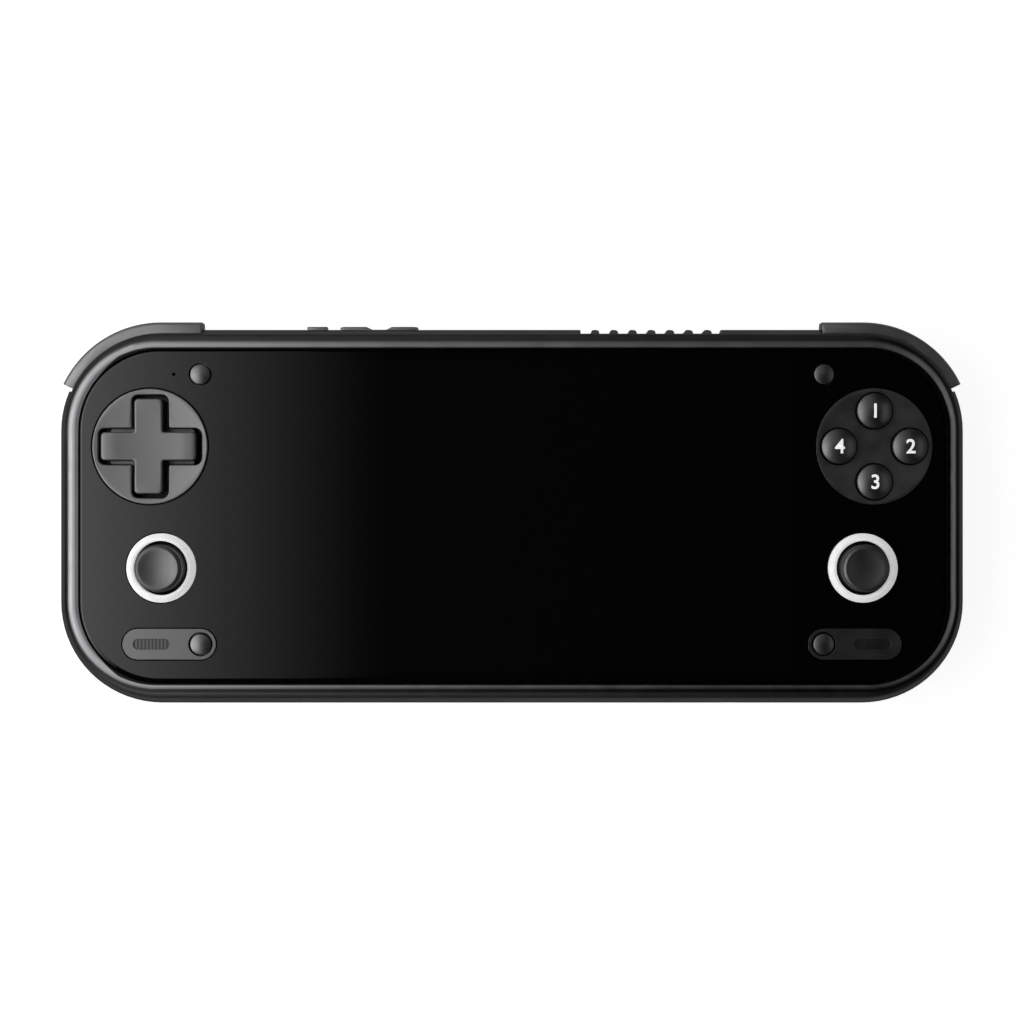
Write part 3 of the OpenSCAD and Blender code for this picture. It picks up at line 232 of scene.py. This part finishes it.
def frame_finish():
    """The housing: satin like the shell, with a lip round the glass painted lighter as a highlight, lighter
    still to the right.

    A black band of painted shade lies inside the lip, save on the left, and a painted shadow line outside it,
    weaker along the top.
    Each reach is a distance from the corner centres.
    """
    # Painted shadow: a dark line of colour outside the lip, weaker towards the top.
    line_rise, line_fall, shadow_line_dark = (20.35, 20.6), (21.15, 21.45), (0.025, 0.025, 0.026)
    line_reach, shadow_line_at_top = (-20, 20), 0.6
    lip_rise, lip_fall = (18.65, 19.25), (19.8, 20.5)
    # Painted highlight: the lip band is lighter than the satin, and lighter still on the right where the rim
    # catches light.
    lip_highlight_grey, lip_highlight_bright, highlight_reach = (0.25, 0.25, 0.255), (0.55, 0.55, 0.56), (88, 100)
    # Painted shade: a black band inside the lip, pulled back on the lit left side so that the lip highlight
    # reaches the glass there.
    edge_shade_end, edge_shade_black, edge_shade_shift = (19.1, 19.35), (0.01, 0.01, 0.01), 1.5
    s = plastic("frame_satin", **SATIN)
    satin = s.bsdf.inputs["Base Color"].links[0].from_socket
    out = s.from_corners(LIP_X, LIP_Y, LIP_UP)
    shadow_line_share = s.ramp(s.along("Y"), 1, shadow_line_at_top, line_reach)
    line = s.calc("MULTIPLY", s.band(out, line_rise, line_fall), shadow_line_share)
    shadow_lined = s.two_tone(line, satin, shadow_line_dark)
    # turned holds the lip's painted highlight colour, which grows brighter towards the right.
    turned = s.two_tone(s.ramp(s.along("X"), 0, 1, highlight_reach), lip_highlight_grey, lip_highlight_bright)
    lipped = s.two_tone(s.band(out, lip_rise, lip_fall), shadow_lined, turned)
    # The painted shade starts further in on the left.
    left_shift = s.ramp(s.along("X"), edge_shade_shift * MM, 0, SEAL_START)
    past_edge_shade = s.ramp(s.calc("ADD", s.from_corners(LIP_X), left_shift), 0, 1, edge_shade_end)
    s.put(Base_Color=s.two_tone(past_edge_shade, edge_shade_black, lipped))
    return s


def glass_finish():
    """Cover glass: a dark printed back under a smooth face, with faint smears and a dim screen area.

    A matt black seal covers the rim, wider to the right. On the left it runs under the lip.
    """
    half_w, half_h = 65, 36.2
    print_black, screen_black = (0.0016, 0.0016, 0.0018), (0.0022, 0.0023, 0.0027)
    smear_scale, smear_stretch, least_rough, most_rough = 38, (1, 3, 1), 0.015, 0.04
    seal_start, seal_widening, widening_reach = (17.8, 18.0), 0.5, (-50, -10)
    shine = 0.5
    s = Shader("cover_glass")
    across = s.along("X")
    within_w = s.calc("LESS_THAN", s.calc("ABSOLUTE", across), half_w * MM)
    within_h = s.calc("LESS_THAN", s.calc("ABSOLUTE", s.along("Y")), half_h * MM)
    base = s.two_tone(s.calc("MULTIPLY", within_w, within_h), print_black, screen_black)
    smears = s.noise(smear_scale, detail=5, rough=0.6, stretch=smear_stretch)
    smeared = s.spread(smears, least_rough, most_rough)
    out = s.calc("ADD", s.from_corners(up=LIP_UP), s.ramp(across, 0, seal_widening * MM, widening_reach))
    seal = s.calc("MULTIPLY", s.ramp(out, 0, 1, seal_start), s.ramp(across, 0, 1, SEAL_START))
    gloss = s.spread(seal, shine, 0, start=0, stop=1)
    s.put(IOR=1.5, Base_Color=base, Roughness=smeared, Specular_IOR_Level=gloss)
    return s


def screen_finish():
    """The display panel behind the glass: dark cells, too fine to see one by one."""
    cell_scale, gloss_scale, least_rough, most_rough = 20000, 60, 0.15, 0.25
    cell_dark, cell_light = (0.004, 0.004, 0.006), (0.008, 0.008, 0.011)
    s = Shader("display_cells")
    base = s.two_tone(s.noise(cell_scale, detail=0), cell_dark, cell_light)
    gloss = s.spread(s.noise(gloss_scale, detail=3), least_rough, most_rough)
    s.put(IOR=1.5, Base_Color=base, Roughness=gloss)
    return s


def ring_finish():
    """Stick rings: frosted light guides that glow a little."""
    frost_scale, gloss_scale, grain_scale = 700, 400, 6000
    body_dark, body_light = (0.74, 0.74, 0.74), (0.82, 0.82, 0.82)
    glow_dark, glow_light = (0.90, 0.90, 0.92), (1.0, 1.0, 1.0)
    grain_depth, grain_strength, soft, scatter = 0.002, 0.5, 0.1, 1.2
    least_rough, most_rough = 0.34, 0.46
    s = Shader("ring_frosted")
    frost = s.spread(s.noise(frost_scale, detail=3), 0, 1)
    s.put(Base_Color=s.two_tone(frost, body_dark, body_light), IOR=1.49)
    s.put(Roughness=s.spread(s.noise(gloss_scale, detail=2), least_rough, most_rough))
    s.put(Subsurface_Weight=0.25, Subsurface_Scale=scatter * MM, Subsurface_Radius=(1, 1, 1))
    s.put(Emission_Color=s.two_tone(frost, glow_dark, glow_light), Emission_Strength=0.45)
    s.bump(s.noise(grain_scale, detail=2), grain_depth * MM, grain_strength, soft * MM)
    return s


def print_finish():
    """White print that glows a little with painted light, so that it stays bright on the dark buttons."""
    s = plastic("print_white_glow", (0.94, 0.94, 0.94), rough=0.5, grain=0.1, wear=0, soft=0, tone=0.04)
    # Painted light: the print glows though nothing lights it from behind.
    s.put(Emission_Color=(1, 1, 1, 1), Emission_Strength=0.4)
    return s


SATIN = dict(colour=(0.085, 0.085, 0.088), rough=0.38, grain=0.14, metallic=1.0, edge=0.35, wear=0.15)
BLACK = (0.005, 0.005, 0.0055)
shell = plastic("shell_satin", **SATIN)
shoulder = plastic("shoulder_satin", (0.21, 0.21, 0.215), rough=0.42, grain=0.14, metallic=1.0, edge=0.3,
                   wear=0.15, soft=0.6)
control = plastic("control_satin", BLACK, rough=0.34, grain=0.12, depth=0.003, spec=1.0, soft=0.16, ior=1.65)
dish = plastic("dish_satin", BLACK, rough=0.35, grain=0.12, depth=0.003, spec=1.0, ior=1.75)
rubber = plastic("stick_rubber", BLACK, rough=0.40, grain=0.22, depth=0.008, spec=1.0, soft=0.1, ior=1.6)
dark = plastic("inner_plastic", (0.014, 0.014, 0.015), rough=0.5, grain=0.3, soft=0.05, wear=0)
dust_cloth = plastic("dust_screen", BLACK, rough=0.36, grain=0.1, spec=0.65, soft=0, wear=0, ior=1.55)
board = plastic("board_lacquer", (0.006, 0.035, 0.018), rough=0.35, grain=0.5, soft=0, wear=0)
silicone = plastic("membrane_silicone", (0.16, 0.16, 0.17), rough=0.6, grain=0.3, soft=0, wear=0)
cell = plastic("cell_wrap", (0.02, 0.022, 0.028), rough=0.4, grain=0.8, depth=0.01, soft=0, wear=0)
steel = metal("bright_steel", (0.62, 0.62, 0.63), rough=0.3, brushed=(1, 8, 1))
black_steel = metal("black_steel", (0.11, 0.11, 0.115), rough=0.36)
copper = metal("copper_plate", (0.72, 0.36, 0.22), rough=0.32, brushed=(6, 1, 1))
frame_metal = frame_finish()
glass = glass_finish()
screen = screen_finish()
ring = ring_finish()
print_white_glow = print_finish()

# The finish of every node
FINISH = {
    "front_housing": frame_metal, "rear_cover": shell, "card_flap": shell, "cover_glass": glass,
    "display_panel": screen, "d_pad_bezel": dish, "face_bezel": dish, "d_pad": control, "d_pad_pivot": dark,
    "d_pad_membrane": silicone, "face_membrane": silicone, "left_speaker_plate": control,
    "right_speaker_plate": control, "power_button": shoulder, "volume_rocker": shoulder,
    "mid_plate": black_steel, "case_screws": black_steel, "inner_screws": steel, "trigger_pins": steel,
    "trigger_springs": steel, "tact_switches": steel, "usb_port": steel, "card_reader": steel,
    "headphone_jack": dark, "fan_housing": dark, "fan_rotor": dark, "heat_sink": copper, "battery": cell,
    "main_board": board, "left_board": board, "right_board": board, "port_board": board,
}
PAIRED_FINISH = {
    "stick_ring": ring, "stick_base": dark, "stick_yoke": dark, "stick_hub": dark, "stick_shaft": rubber,
    "stick_cap": rubber, "speaker": dark, "top_button": control, "low_button": control, "bumper": shoulder,
    "trigger": control,
}
for turn in TURNS:
    FINISH["face_button_" + turn] = control
for side, _ in SIDES:
    for part, finish in PAIRED_FINISH.items():
        FINISH[side + "_" + part] = finish


def paint(obj, shader):
    obj.data.materials.clear()
    obj.data.materials.append(shader.mat)


for name, obj in nodes.items():
    paint(obj, FINISH[name])


# Mesh helpers
def mesh_piece(name, bm, shader, body, node=None, angle=35):
    """Makes a piece of a body. It stands for a node where one is given, and is smooth up to an angle."""
    bmesh.ops.recalc_face_normals(bm, faces=bm.faces)
    mesh = bpy.data.meshes.new(name)
    bm.to_mesh(mesh)
    bm.free()
    for p in mesh.polygons:
        p.use_smooth = True
    mesh.set_sharp_from_angle(angle=math.radians(angle))
    obj = bpy.data.objects.new(name, mesh)
    scene.collection.objects.link(obj)
    paint(obj, shader)
    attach(obj, body)
    if node:
        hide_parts(node)


def node_copy(node):
    """A copy of a node's mesh with its doubled points joined."""
    join_distance = 0.002
    bm = bmesh.new()
    bm.from_mesh(nodes[node].data)
    bmesh.ops.remove_doubles(bm, verts=bm.verts, dist=join_distance * MM)
    return bm


def loft(rings, capped=True, bm=None):
    """Skins rings of equal length, each a closed loop of points. Caps close the first and the last."""
    bm = bm or bmesh.new()
    rows = [[bm.verts.new(p) for p in r] for r in rings]
    count = len(rows[0])
    for a, b in zip(rows, rows[1:]):
        for i in range(count):
            j = (i + 1) % count
            bm.faces.new((a[i], a[j], b[j], b[i]))
    for row in (rows[0], rows[-1]) if capped else ():
        mid = bm.verts.new(sum((v.co for v in row), Vector()) / count)
        for i in range(count):
            bm.faces.new((row[i], row[(i + 1) % count], mid))
    return bm


def between(p, q, t):
    return p[0] + (q[0] - p[0]) * t, p[1] + (q[1] - p[1]) * t


def cross_loop(span, arm, outer, inner, steps=6, run=7):
    """A plus outline as a loop of points: straight runs, round tips, filleted inner corners."""
    h, a = span / 2, arm / 2
    quarter = []

    def arc(cx, cy, r, start, stop):
        for k in range(steps + 1):
            t = math.radians(start + (stop - start) * k / steps)
            quarter.append((cx + r * math.cos(t), cy + r * math.sin(t)))

    def straight(p, q):
        for k in range(1, run):
            quarter.append(between(p, q, k / run))

    straight((h, outer - a), (h, a - outer))
    arc(h - outer, a - outer, outer, 0, 90)
    straight((h - outer, a), (a + inner, a))
    arc(a + inner, a + inner, inner, 270, 180)
    straight((a, a + inner), (a, h - outer))
    arc(a - outer, h - outer, outer, 0, 90)
    loop = []
    for c, s in ((1, 0), (0, 1), (-1, 0), (0, -1)):
        loop += [(c * x - s * y, s * x + c * y) for x, y in quarter]
    return loop


def round_loop(loop, r):
    """A circle with a point in the direction of each point of a loop."""
    return [(r * math.cos(math.atan2(y, x)), r * math.sin(math.atan2(y, x))) for x, y in loop]


def scaled(loop, wide, high):
    return [(x * wide, y * high) for x, y in loop]


def quarter_turn(steps, first=0):
    """Angles from 0 to 90 degrees, from the first step on."""
    return [math.radians(90 * k / steps) for k in range(first, steps + 1)]


def lowered(face, drop):
    return lambda x, y: face(x, y) - drop


def lift(loop, height, at):
    """A loop set down at a place, in metres. Its height is a number or a function of x and y."""
    level = height if callable(height) else lambda x, y: height
    return [Vector((at[0] + x, at[1] + y, level(x, y))) * MM for x, y in loop]


def softened(node, shader, body, width):
    """A copy of a node with its sharp edges rounded off, which stands for the node."""
    flat_angle, sharp_angle, smooth_angle = 0.6, 40, 30
    bm = node_copy(node)
    bmesh.ops.dissolve_limit(bm, angle_limit=math.radians(flat_angle), verts=bm.verts, edges=bm.edges)
    closed = [e for e in bm.edges if len(e.link_faces) == 2]
    hard = [e for e in closed if e.calc_face_angle(0) > math.radians(sharp_angle)]
    bmesh.ops.bevel(bm, geom=hard, offset=width * MM, offset_type="OFFSET", segments=3, profile=0.5,
                    affect="EDGES", clamp_overlap=True)
    mesh_piece(node + "_soft", bm, shader, body, node, angle=smooth_angle)


# Pieces that stand for a node or lie on one
PAD_AT = middle("d_pad")


def direction_pad():
    """The pad: rounded edges, filleted inner corners and a shallow hollow in the top."""
    span, arm, tip_r, least_tip_r, inner_r = 22.0, 6.6, 1.0, 0.25, 0.5
    hollow, hollow_r = 0.25, 144
    edge, side_drop, skirt_r, skirt_h = 0.4, 1.2, 10.4, 1
    edge_steps, top_steps, past_top = 5, 12, 0.5
    tiny = 0.02
    low, high = bottom_of("d_pad"), top_of("d_pad")

    def face(x, y):
        return high - max(0.0, hollow - (x * x + y * y) / (2 * hollow_r))

    def outline(inset):
        return cross_loop(span - 2 * inset, arm - 2 * inset, max(least_tip_r, tip_r - inset), inner_r + inset)

    skirt = round_loop(outline(0), skirt_r)
    levels = [(scaled(outline(0), tiny, tiny), low), (skirt, low), (skirt, low + skirt_h)]
    levels += [(outline(0), low + skirt_h), (outline(0), high - edge - side_drop)]
    for t in quarter_turn(edge_steps):
        levels.append((outline(edge * (1 - math.cos(t))), lowered(face, edge * (1 - math.sin(t)))))
    for k in range(1, top_steps + 1):
        share = 1 - k / (top_steps + past_top)
        levels.append((scaled(outline(edge), share, share), face))
    rings = [lift(loop, height, PAD_AT) for loop, height in levels]
    mesh_piece("d_pad_shaped", loft(rings), control, "pad", "d_pad", angle=50)


def pad_dish():
    """The pad's dished disc: a rolled lip round the opening and a soft outer edge."""
    disc_r, dip = 13.4, 0.5
    span, arm, tip_r, inner_r, least_inner_r = 23.6, 8.2, 1.4, 0.5, 0.15
    lip, rim = 0.4, 0.3
    edge_steps, face_steps = 5, 8
    low, high = bottom_of("d_pad_bezel"), top_of("d_pad_bezel")

    def face(x, y):
        return high - dip * (1 - (x * x + y * y) / (disc_r * disc_r))

    def opening(grow):
        return cross_loop(span + 2 * grow, arm + 2 * grow, tip_r + grow, max(least_inner_r, inner_r - grow))

    hole = opening(0)
    inner = opening(lip)
    outer = round_loop(inner, disc_r - rim)
    levels = [(hole, low)]
    for t in quarter_turn(edge_steps):
        levels.append((opening(lip * (1 - math.cos(t))), lowered(face, lip * (1 - math.sin(t)))))
    for k in range(1, face_steps + 1):
        levels.append(([between(p, q, k / face_steps) for p, q in zip(inner, outer)], face))
    for t in quarter_turn(edge_steps, first=1):
        circle = round_loop(inner, disc_r - rim + rim * math.sin(t))
        levels.append((circle, lowered(face, rim * (1 - math.cos(t)))))
    levels += [(round_loop(inner, disc_r), low), (hole, low)]
    rings = [lift(loop, height, PAD_AT) for loop, height in levels]
    mesh_piece("d_pad_dish", loft(rings, capped=False), dish, "case", "d_pad_bezel", angle=50)


def case_screws():
    """Case screws, head down, with a cross recess in each head."""
    places = ((60, 39), (60, -39), (99.4, -3))
    shank_r, head_r, head_h, head_edge, edge_steps = 0.95, 1.75, 1.2, 0.3, 4
    recess_deep, recess_wide, recess_high = 0.65, 0.55, 0.8
    cross = cross_loop(span=2.3, arm=0.62, outer=0.12, inner=0.12, steps=3, run=3)
    low, high = bottom_of("case_screws"), top_of("case_screws")
    seat, edge_z = low + head_h, low + head_edge
    levels = [(round_loop(cross, shank_r), high), (round_loop(cross, shank_r), seat)]
    levels += [(round_loop(cross, head_r), seat), (round_loop(cross, head_r), edge_z)]
    for t in quarter_turn(edge_steps, first=1):
        circle = round_loop(cross, head_r - head_edge + head_edge * math.cos(t))
        levels.append((circle, edge_z - head_edge * math.sin(t)))
    levels += [(cross, low), (scaled(cross, recess_wide, recess_high), low + recess_deep)]
    bm = bmesh.new()
    for _, sign in SIDES:
        for x, y in places:
            loft([lift(loop, height, (sign * x, y)) for loop, height in levels], bm=bm)
    mesh_piece("case_screws_cross", bm, black_steel, "case", "case_screws", angle=30)


def stick_cap(side):
    """A stick cap whose rim is a wide soft slope round the hollow, with a round outer edge."""
    slope_from, slope_to, slope_drop = 4.65, 5.2, 0.24
    edge_w, edge_h, rim_deep, slack = 0.26, 0.5, 0.78, 0.01
    node = side + "_stick_cap"
    mid_x, mid_y = middle(node)
    high = top_of(node)
    bm = node_copy(node)
    for v in bm.verts:
        r = math.hypot(v.co.x / MM - mid_x, v.co.y / MM - mid_y)
        z = v.co.z / MM
        if r <= slope_from + slack or z <= high - rim_deep:
            continue
        if r < slope_to:
            level = high - slope_drop * (r - slope_from) / (slope_to - slope_from)
        else:
            round_off = 1 - math.sqrt(max(0, 1 - ((r - slope_to) / edge_w) ** 2))
            level = high - slope_drop - edge_h * round_off
        v.co.z = min(z, level) * MM
    mesh_piece(node + "_rim", bm, rubber, side + "_stick", node, angle=40)


def dust_screen(side, sign):
    """A thin ribbed sheet with round ends that lies in the dip of a speaker plate, over the sound slits."""
    length, width, thick = 8.4, 2.3, 0.08
    slot_off, slot_dip, gap = 4.1, 0.35, 0.02
    ribs, rib_h, rib_steps, least_half = 10, 0.009, 8, 0.05
    plate_x, plate_y = middle(side + "_speaker_plate")
    mid_x = plate_x + sign * slot_off
    low = top_of(side + "_speaker_plate") - slot_dip + gap
    rings = []
    for k in range(ribs * rib_steps + 1):
        x = length * (k / (ribs * rib_steps) - 0.5)
        past = max(0, abs(x) - (length - width) / 2)
        half = max(least_half, math.sqrt(max(0, (width / 2) ** 2 - past ** 2)))
        high = low + thick + rib_h * math.cos(2 * math.pi * k / rib_steps)
        corners = ((-half, low), (half, low), (half, high), (-half, high))
        rings.append([Vector((mid_x + x, plate_y + y, z)) * MM for y, z in corners])
    mesh_piece(side + "_dust_screen", loft(rings), dust_cloth, "case")


def flat_numeral(mark, turn):
    """A numeral as a flat mesh round its own middle."""
    size, boldness, join_distance = 4.6, 0.08, 0.0001
    curve = bpy.data.curves.new("numeral_" + turn, "FONT")
    curve.body = mark
    curve.size = size * MM
    curve.align_x, curve.align_y = "CENTER", "CENTER"
    curve.offset = boldness * MM
    text = bpy.data.objects.new("numeral_text_" + turn, curve)
    scene.collection.objects.link(text)
    bpy.context.view_layer.update()
    mesh = bpy.data.meshes.new_from_object(text.evaluated_get(bpy.context.evaluated_depsgraph_get()))
    bpy.data.objects.remove(text)
    bpy.data.curves.remove(curve)
    bm = bmesh.new()
    bm.from_mesh(mesh)
    bpy.data.meshes.remove(mesh)
    bmesh.ops.remove_doubles(bm, verts=bm.verts, dist=join_distance * MM)
    xs = [v.co.x for v in bm.verts]
    ys = [v.co.y for v in bm.verts]
    mid = Vector(((min(xs) + max(xs)) / 2, (min(ys) + max(ys)) / 2, 0))
    for v in bm.verts:
        v.co = v.co - mid
    return bm


def numeral(mark, turn):
    """A plain numeral on a face button, cut into a grid so that it follows the button's dome."""
    cut_step, cuts, cut_distance = 0.2, 9, 0.00001
    above, below, ray_start = 0.03, -0.05, 50
    node = "face_button_" + turn
    mid_x, mid_y = middle(node)
    bm = flat_numeral(mark, turn)
    for normal in (Vector((1, 0, 0)), Vector((0, 1, 0))):
        for k in range(-cuts, cuts + 1):
            everything = bm.verts[:] + bm.edges[:] + bm.faces[:]
            bmesh.ops.bisect_plane(bm, geom=everything, plane_co=normal * (k * cut_step * MM),
                                   plane_no=normal, dist=cut_distance * MM)
    dome = BVHTree.FromObject(nodes[node], bpy.context.evaluated_depsgraph_get())
    made = bmesh.ops.extrude_face_region(bm, geom=bm.faces[:])["geom"]
    raised = {g for g in made if isinstance(g, bmesh.types.BMVert)}
    for v in bm.verts:
        x, y = mid_x * MM + v.co.x, mid_y * MM + v.co.y
        hit = dome.ray_cast(Vector((x, y, ray_start * MM)), Vector((0, 0, -1)))[0]
        v.co = Vector((x, y, hit.z + (above if v in raised else below) * MM))
    mesh_piece("numeral_" + turn, bm, print_white_glow, "face_" + turn, angle=60)


direction_pad()
pad_dish()
case_screws()
for side, _ in SIDES:
    softened(side + "_bumper", shoulder, side + "_shoulder", width=0.3)
    softened(side + "_trigger", control, side + "_pull", width=0.3)
softened("power_button", shoulder, "power", width=0.2)
softened("volume_rocker", shoulder, "volume", width=0.2)
for side, _ in SIDES:
    stick_cap(side)
for side, sign in SIDES:
    dust_screen(side, sign)
for mark, turn in zip("1234", TURNS):
    numeral(mark, turn)


# Floor, light and camera, in metres
def quad(name, x, y, z):
    """A level sheet of the stage, between two places along X and two along Y."""
    mesh = bpy.data.meshes.new(name)
    points = [(x[0], y[0], z), (x[1], y[0], z), (x[1], y[1], z), (x[0], y[1], z)]
    mesh.from_pydata(points, [], [(0, 1, 2, 3)])
    obj = bpy.data.objects.new(name, mesh)
    scene.collection.objects.link(obj)
    return obj


def bare_nodes(obj, name):
    """An empty node material on an object."""
    mat = bpy.data.materials.new(name)
    mat.use_nodes = True
    mat.node_tree.nodes.clear()
    obj.data.materials.append(mat)
    return Nodes(mat.node_tree)


def seen_rays(n, eye, gloss):
    """How bright the background is for rays of the camera, and for what gloss and glass show of it."""
    path = n.add("ShaderNodeLightPath").outputs
    mirrored = n.calc("MAXIMUM", path["Is Glossy Ray"], path["Is Transmission Ray"])
    return n.calc("MULTIPLY_ADD", path["Is Camera Ray"], eye, n.calc("MULTIPLY", mirrored, gloss))


def pale_floor():
    """A floor that the camera sees almost white and that throws little light back."""
    half, drop, grey = 3, 0.0002, 0.25
    n = bare_nodes(quad("floor", (-half, half), (-half, half), -drop), "pale_floor")
    matt = n.add("ShaderNodeBsdfDiffuse")
    n.fill(matt, Color=(grey, grey, grey, 1))
    glow = n.add("ShaderNodeEmission")
    n.fill(glow, Strength=seen_rays(n, eye=0.92, gloss=0.55))
    both = n.add("ShaderNodeAddShader")
    n.feed(both.inputs[0], matt.outputs[0])
    n.feed(both.inputs[1], glow.outputs[0])
    n.fill(n.add("ShaderNodeOutputMaterial"), Surface=both.outputs[0])


def studio_world():
    """A pale backdrop round the horizon that fades to a dark ceiling. It adds little light of its own."""
    fade_end, own_light = 0.3, 0.02
    world = bpy.data.worlds.new("studio")
    scene.world = world
    world.use_nodes = True
    n = Nodes(world.node_tree)
    height = n.along("Z", "Generated")
    fade = n.spread(height, 1, 0, start=0, stop=fade_end, interpolation_type="SMOOTHSTEP")
    seen = n.calc("ADD", seen_rays(n, eye=0.96, gloss=0.4), own_light)
    back = n.tree.nodes["Background"]
    n.fill(back, Color=(1, 1, 1, 1), Strength=n.calc("MULTIPLY", fade, seen))


def soft_panel(name, x, y, zero, one, gain, bend, most):
    """A light panel overhead. Its glow rises along X, as a power, from none at zero to the gain at one."""
    height = 0.5
    panel = quad(name, x, y, height)
    n = bare_nodes(panel, name)
    strength = n.spread(n.along("X"), 0, 1, zero, one, clamp=False)
    for operation, value in (("MAXIMUM", 0.0), ("POWER", bend), ("MULTIPLY", gain), ("MINIMUM", most)):
        strength = n.calc(operation, strength, value)
    glow = n.add("ShaderNodeEmission")
    n.fill(glow, Strength=strength)
    n.fill(n.add("ShaderNodeOutputMaterial"), Surface=glow.outputs[0])
    panel.visible_camera = False
    panel.visible_shadow = False


def soft_panels():
    """Five panels. The glass mirrors only the fade of the left one, which hangs over the left side.

    The far panel lights the left rim, the top panel hangs behind the top edge, the low panel before the
    bottom edge, and a weak one on the right.
    """
    soft_panel("left_panel", x=(-0.45, -0.0512), y=(-0.35, 0.35), zero=-0.0512, one=-0.1945,
               gain=1.6, bend=1.8, most=3.0)
    soft_panel("far_panel", x=(-0.65, -0.45), y=(-0.35, 0.35), zero=-0.4, one=-0.5,
               gain=6.0, bend=1.0, most=6.0)
    soft_panel("top_panel", x=(-0.7, 0.25), y=(0.09, 0.8), zero=0.25, one=-0.12,
               gain=0.55, bend=0.8, most=1.0)
    soft_panel("low_panel", x=(-0.7, 0.2), y=(-0.9, -0.3), zero=0.2, one=-0.12,
               gain=0.35, bend=1.0, most=0.7)
    soft_panel("right_panel", x=(0.36, 0.7), y=(-0.3, 0.3), zero=0.32, one=0.42,
               gain=0.5, bend=1.0, most=0.5)


def front_camera():
    """Looks straight down on the console's front."""
    up, height = 0.000994, 0.509
    camera = bpy.data.cameras.new("camera")
    camera.lens = 74.95
    camera.sensor_width = 36
    eye = bpy.data.objects.new("camera", camera)
    eye.location = (0, up, height)
    eye.rotation_euler = (0, 0, 0)
    scene.collection.objects.link(eye)
    scene.camera = eye


pale_floor()
studio_world()
soft_panels()
front_camera()
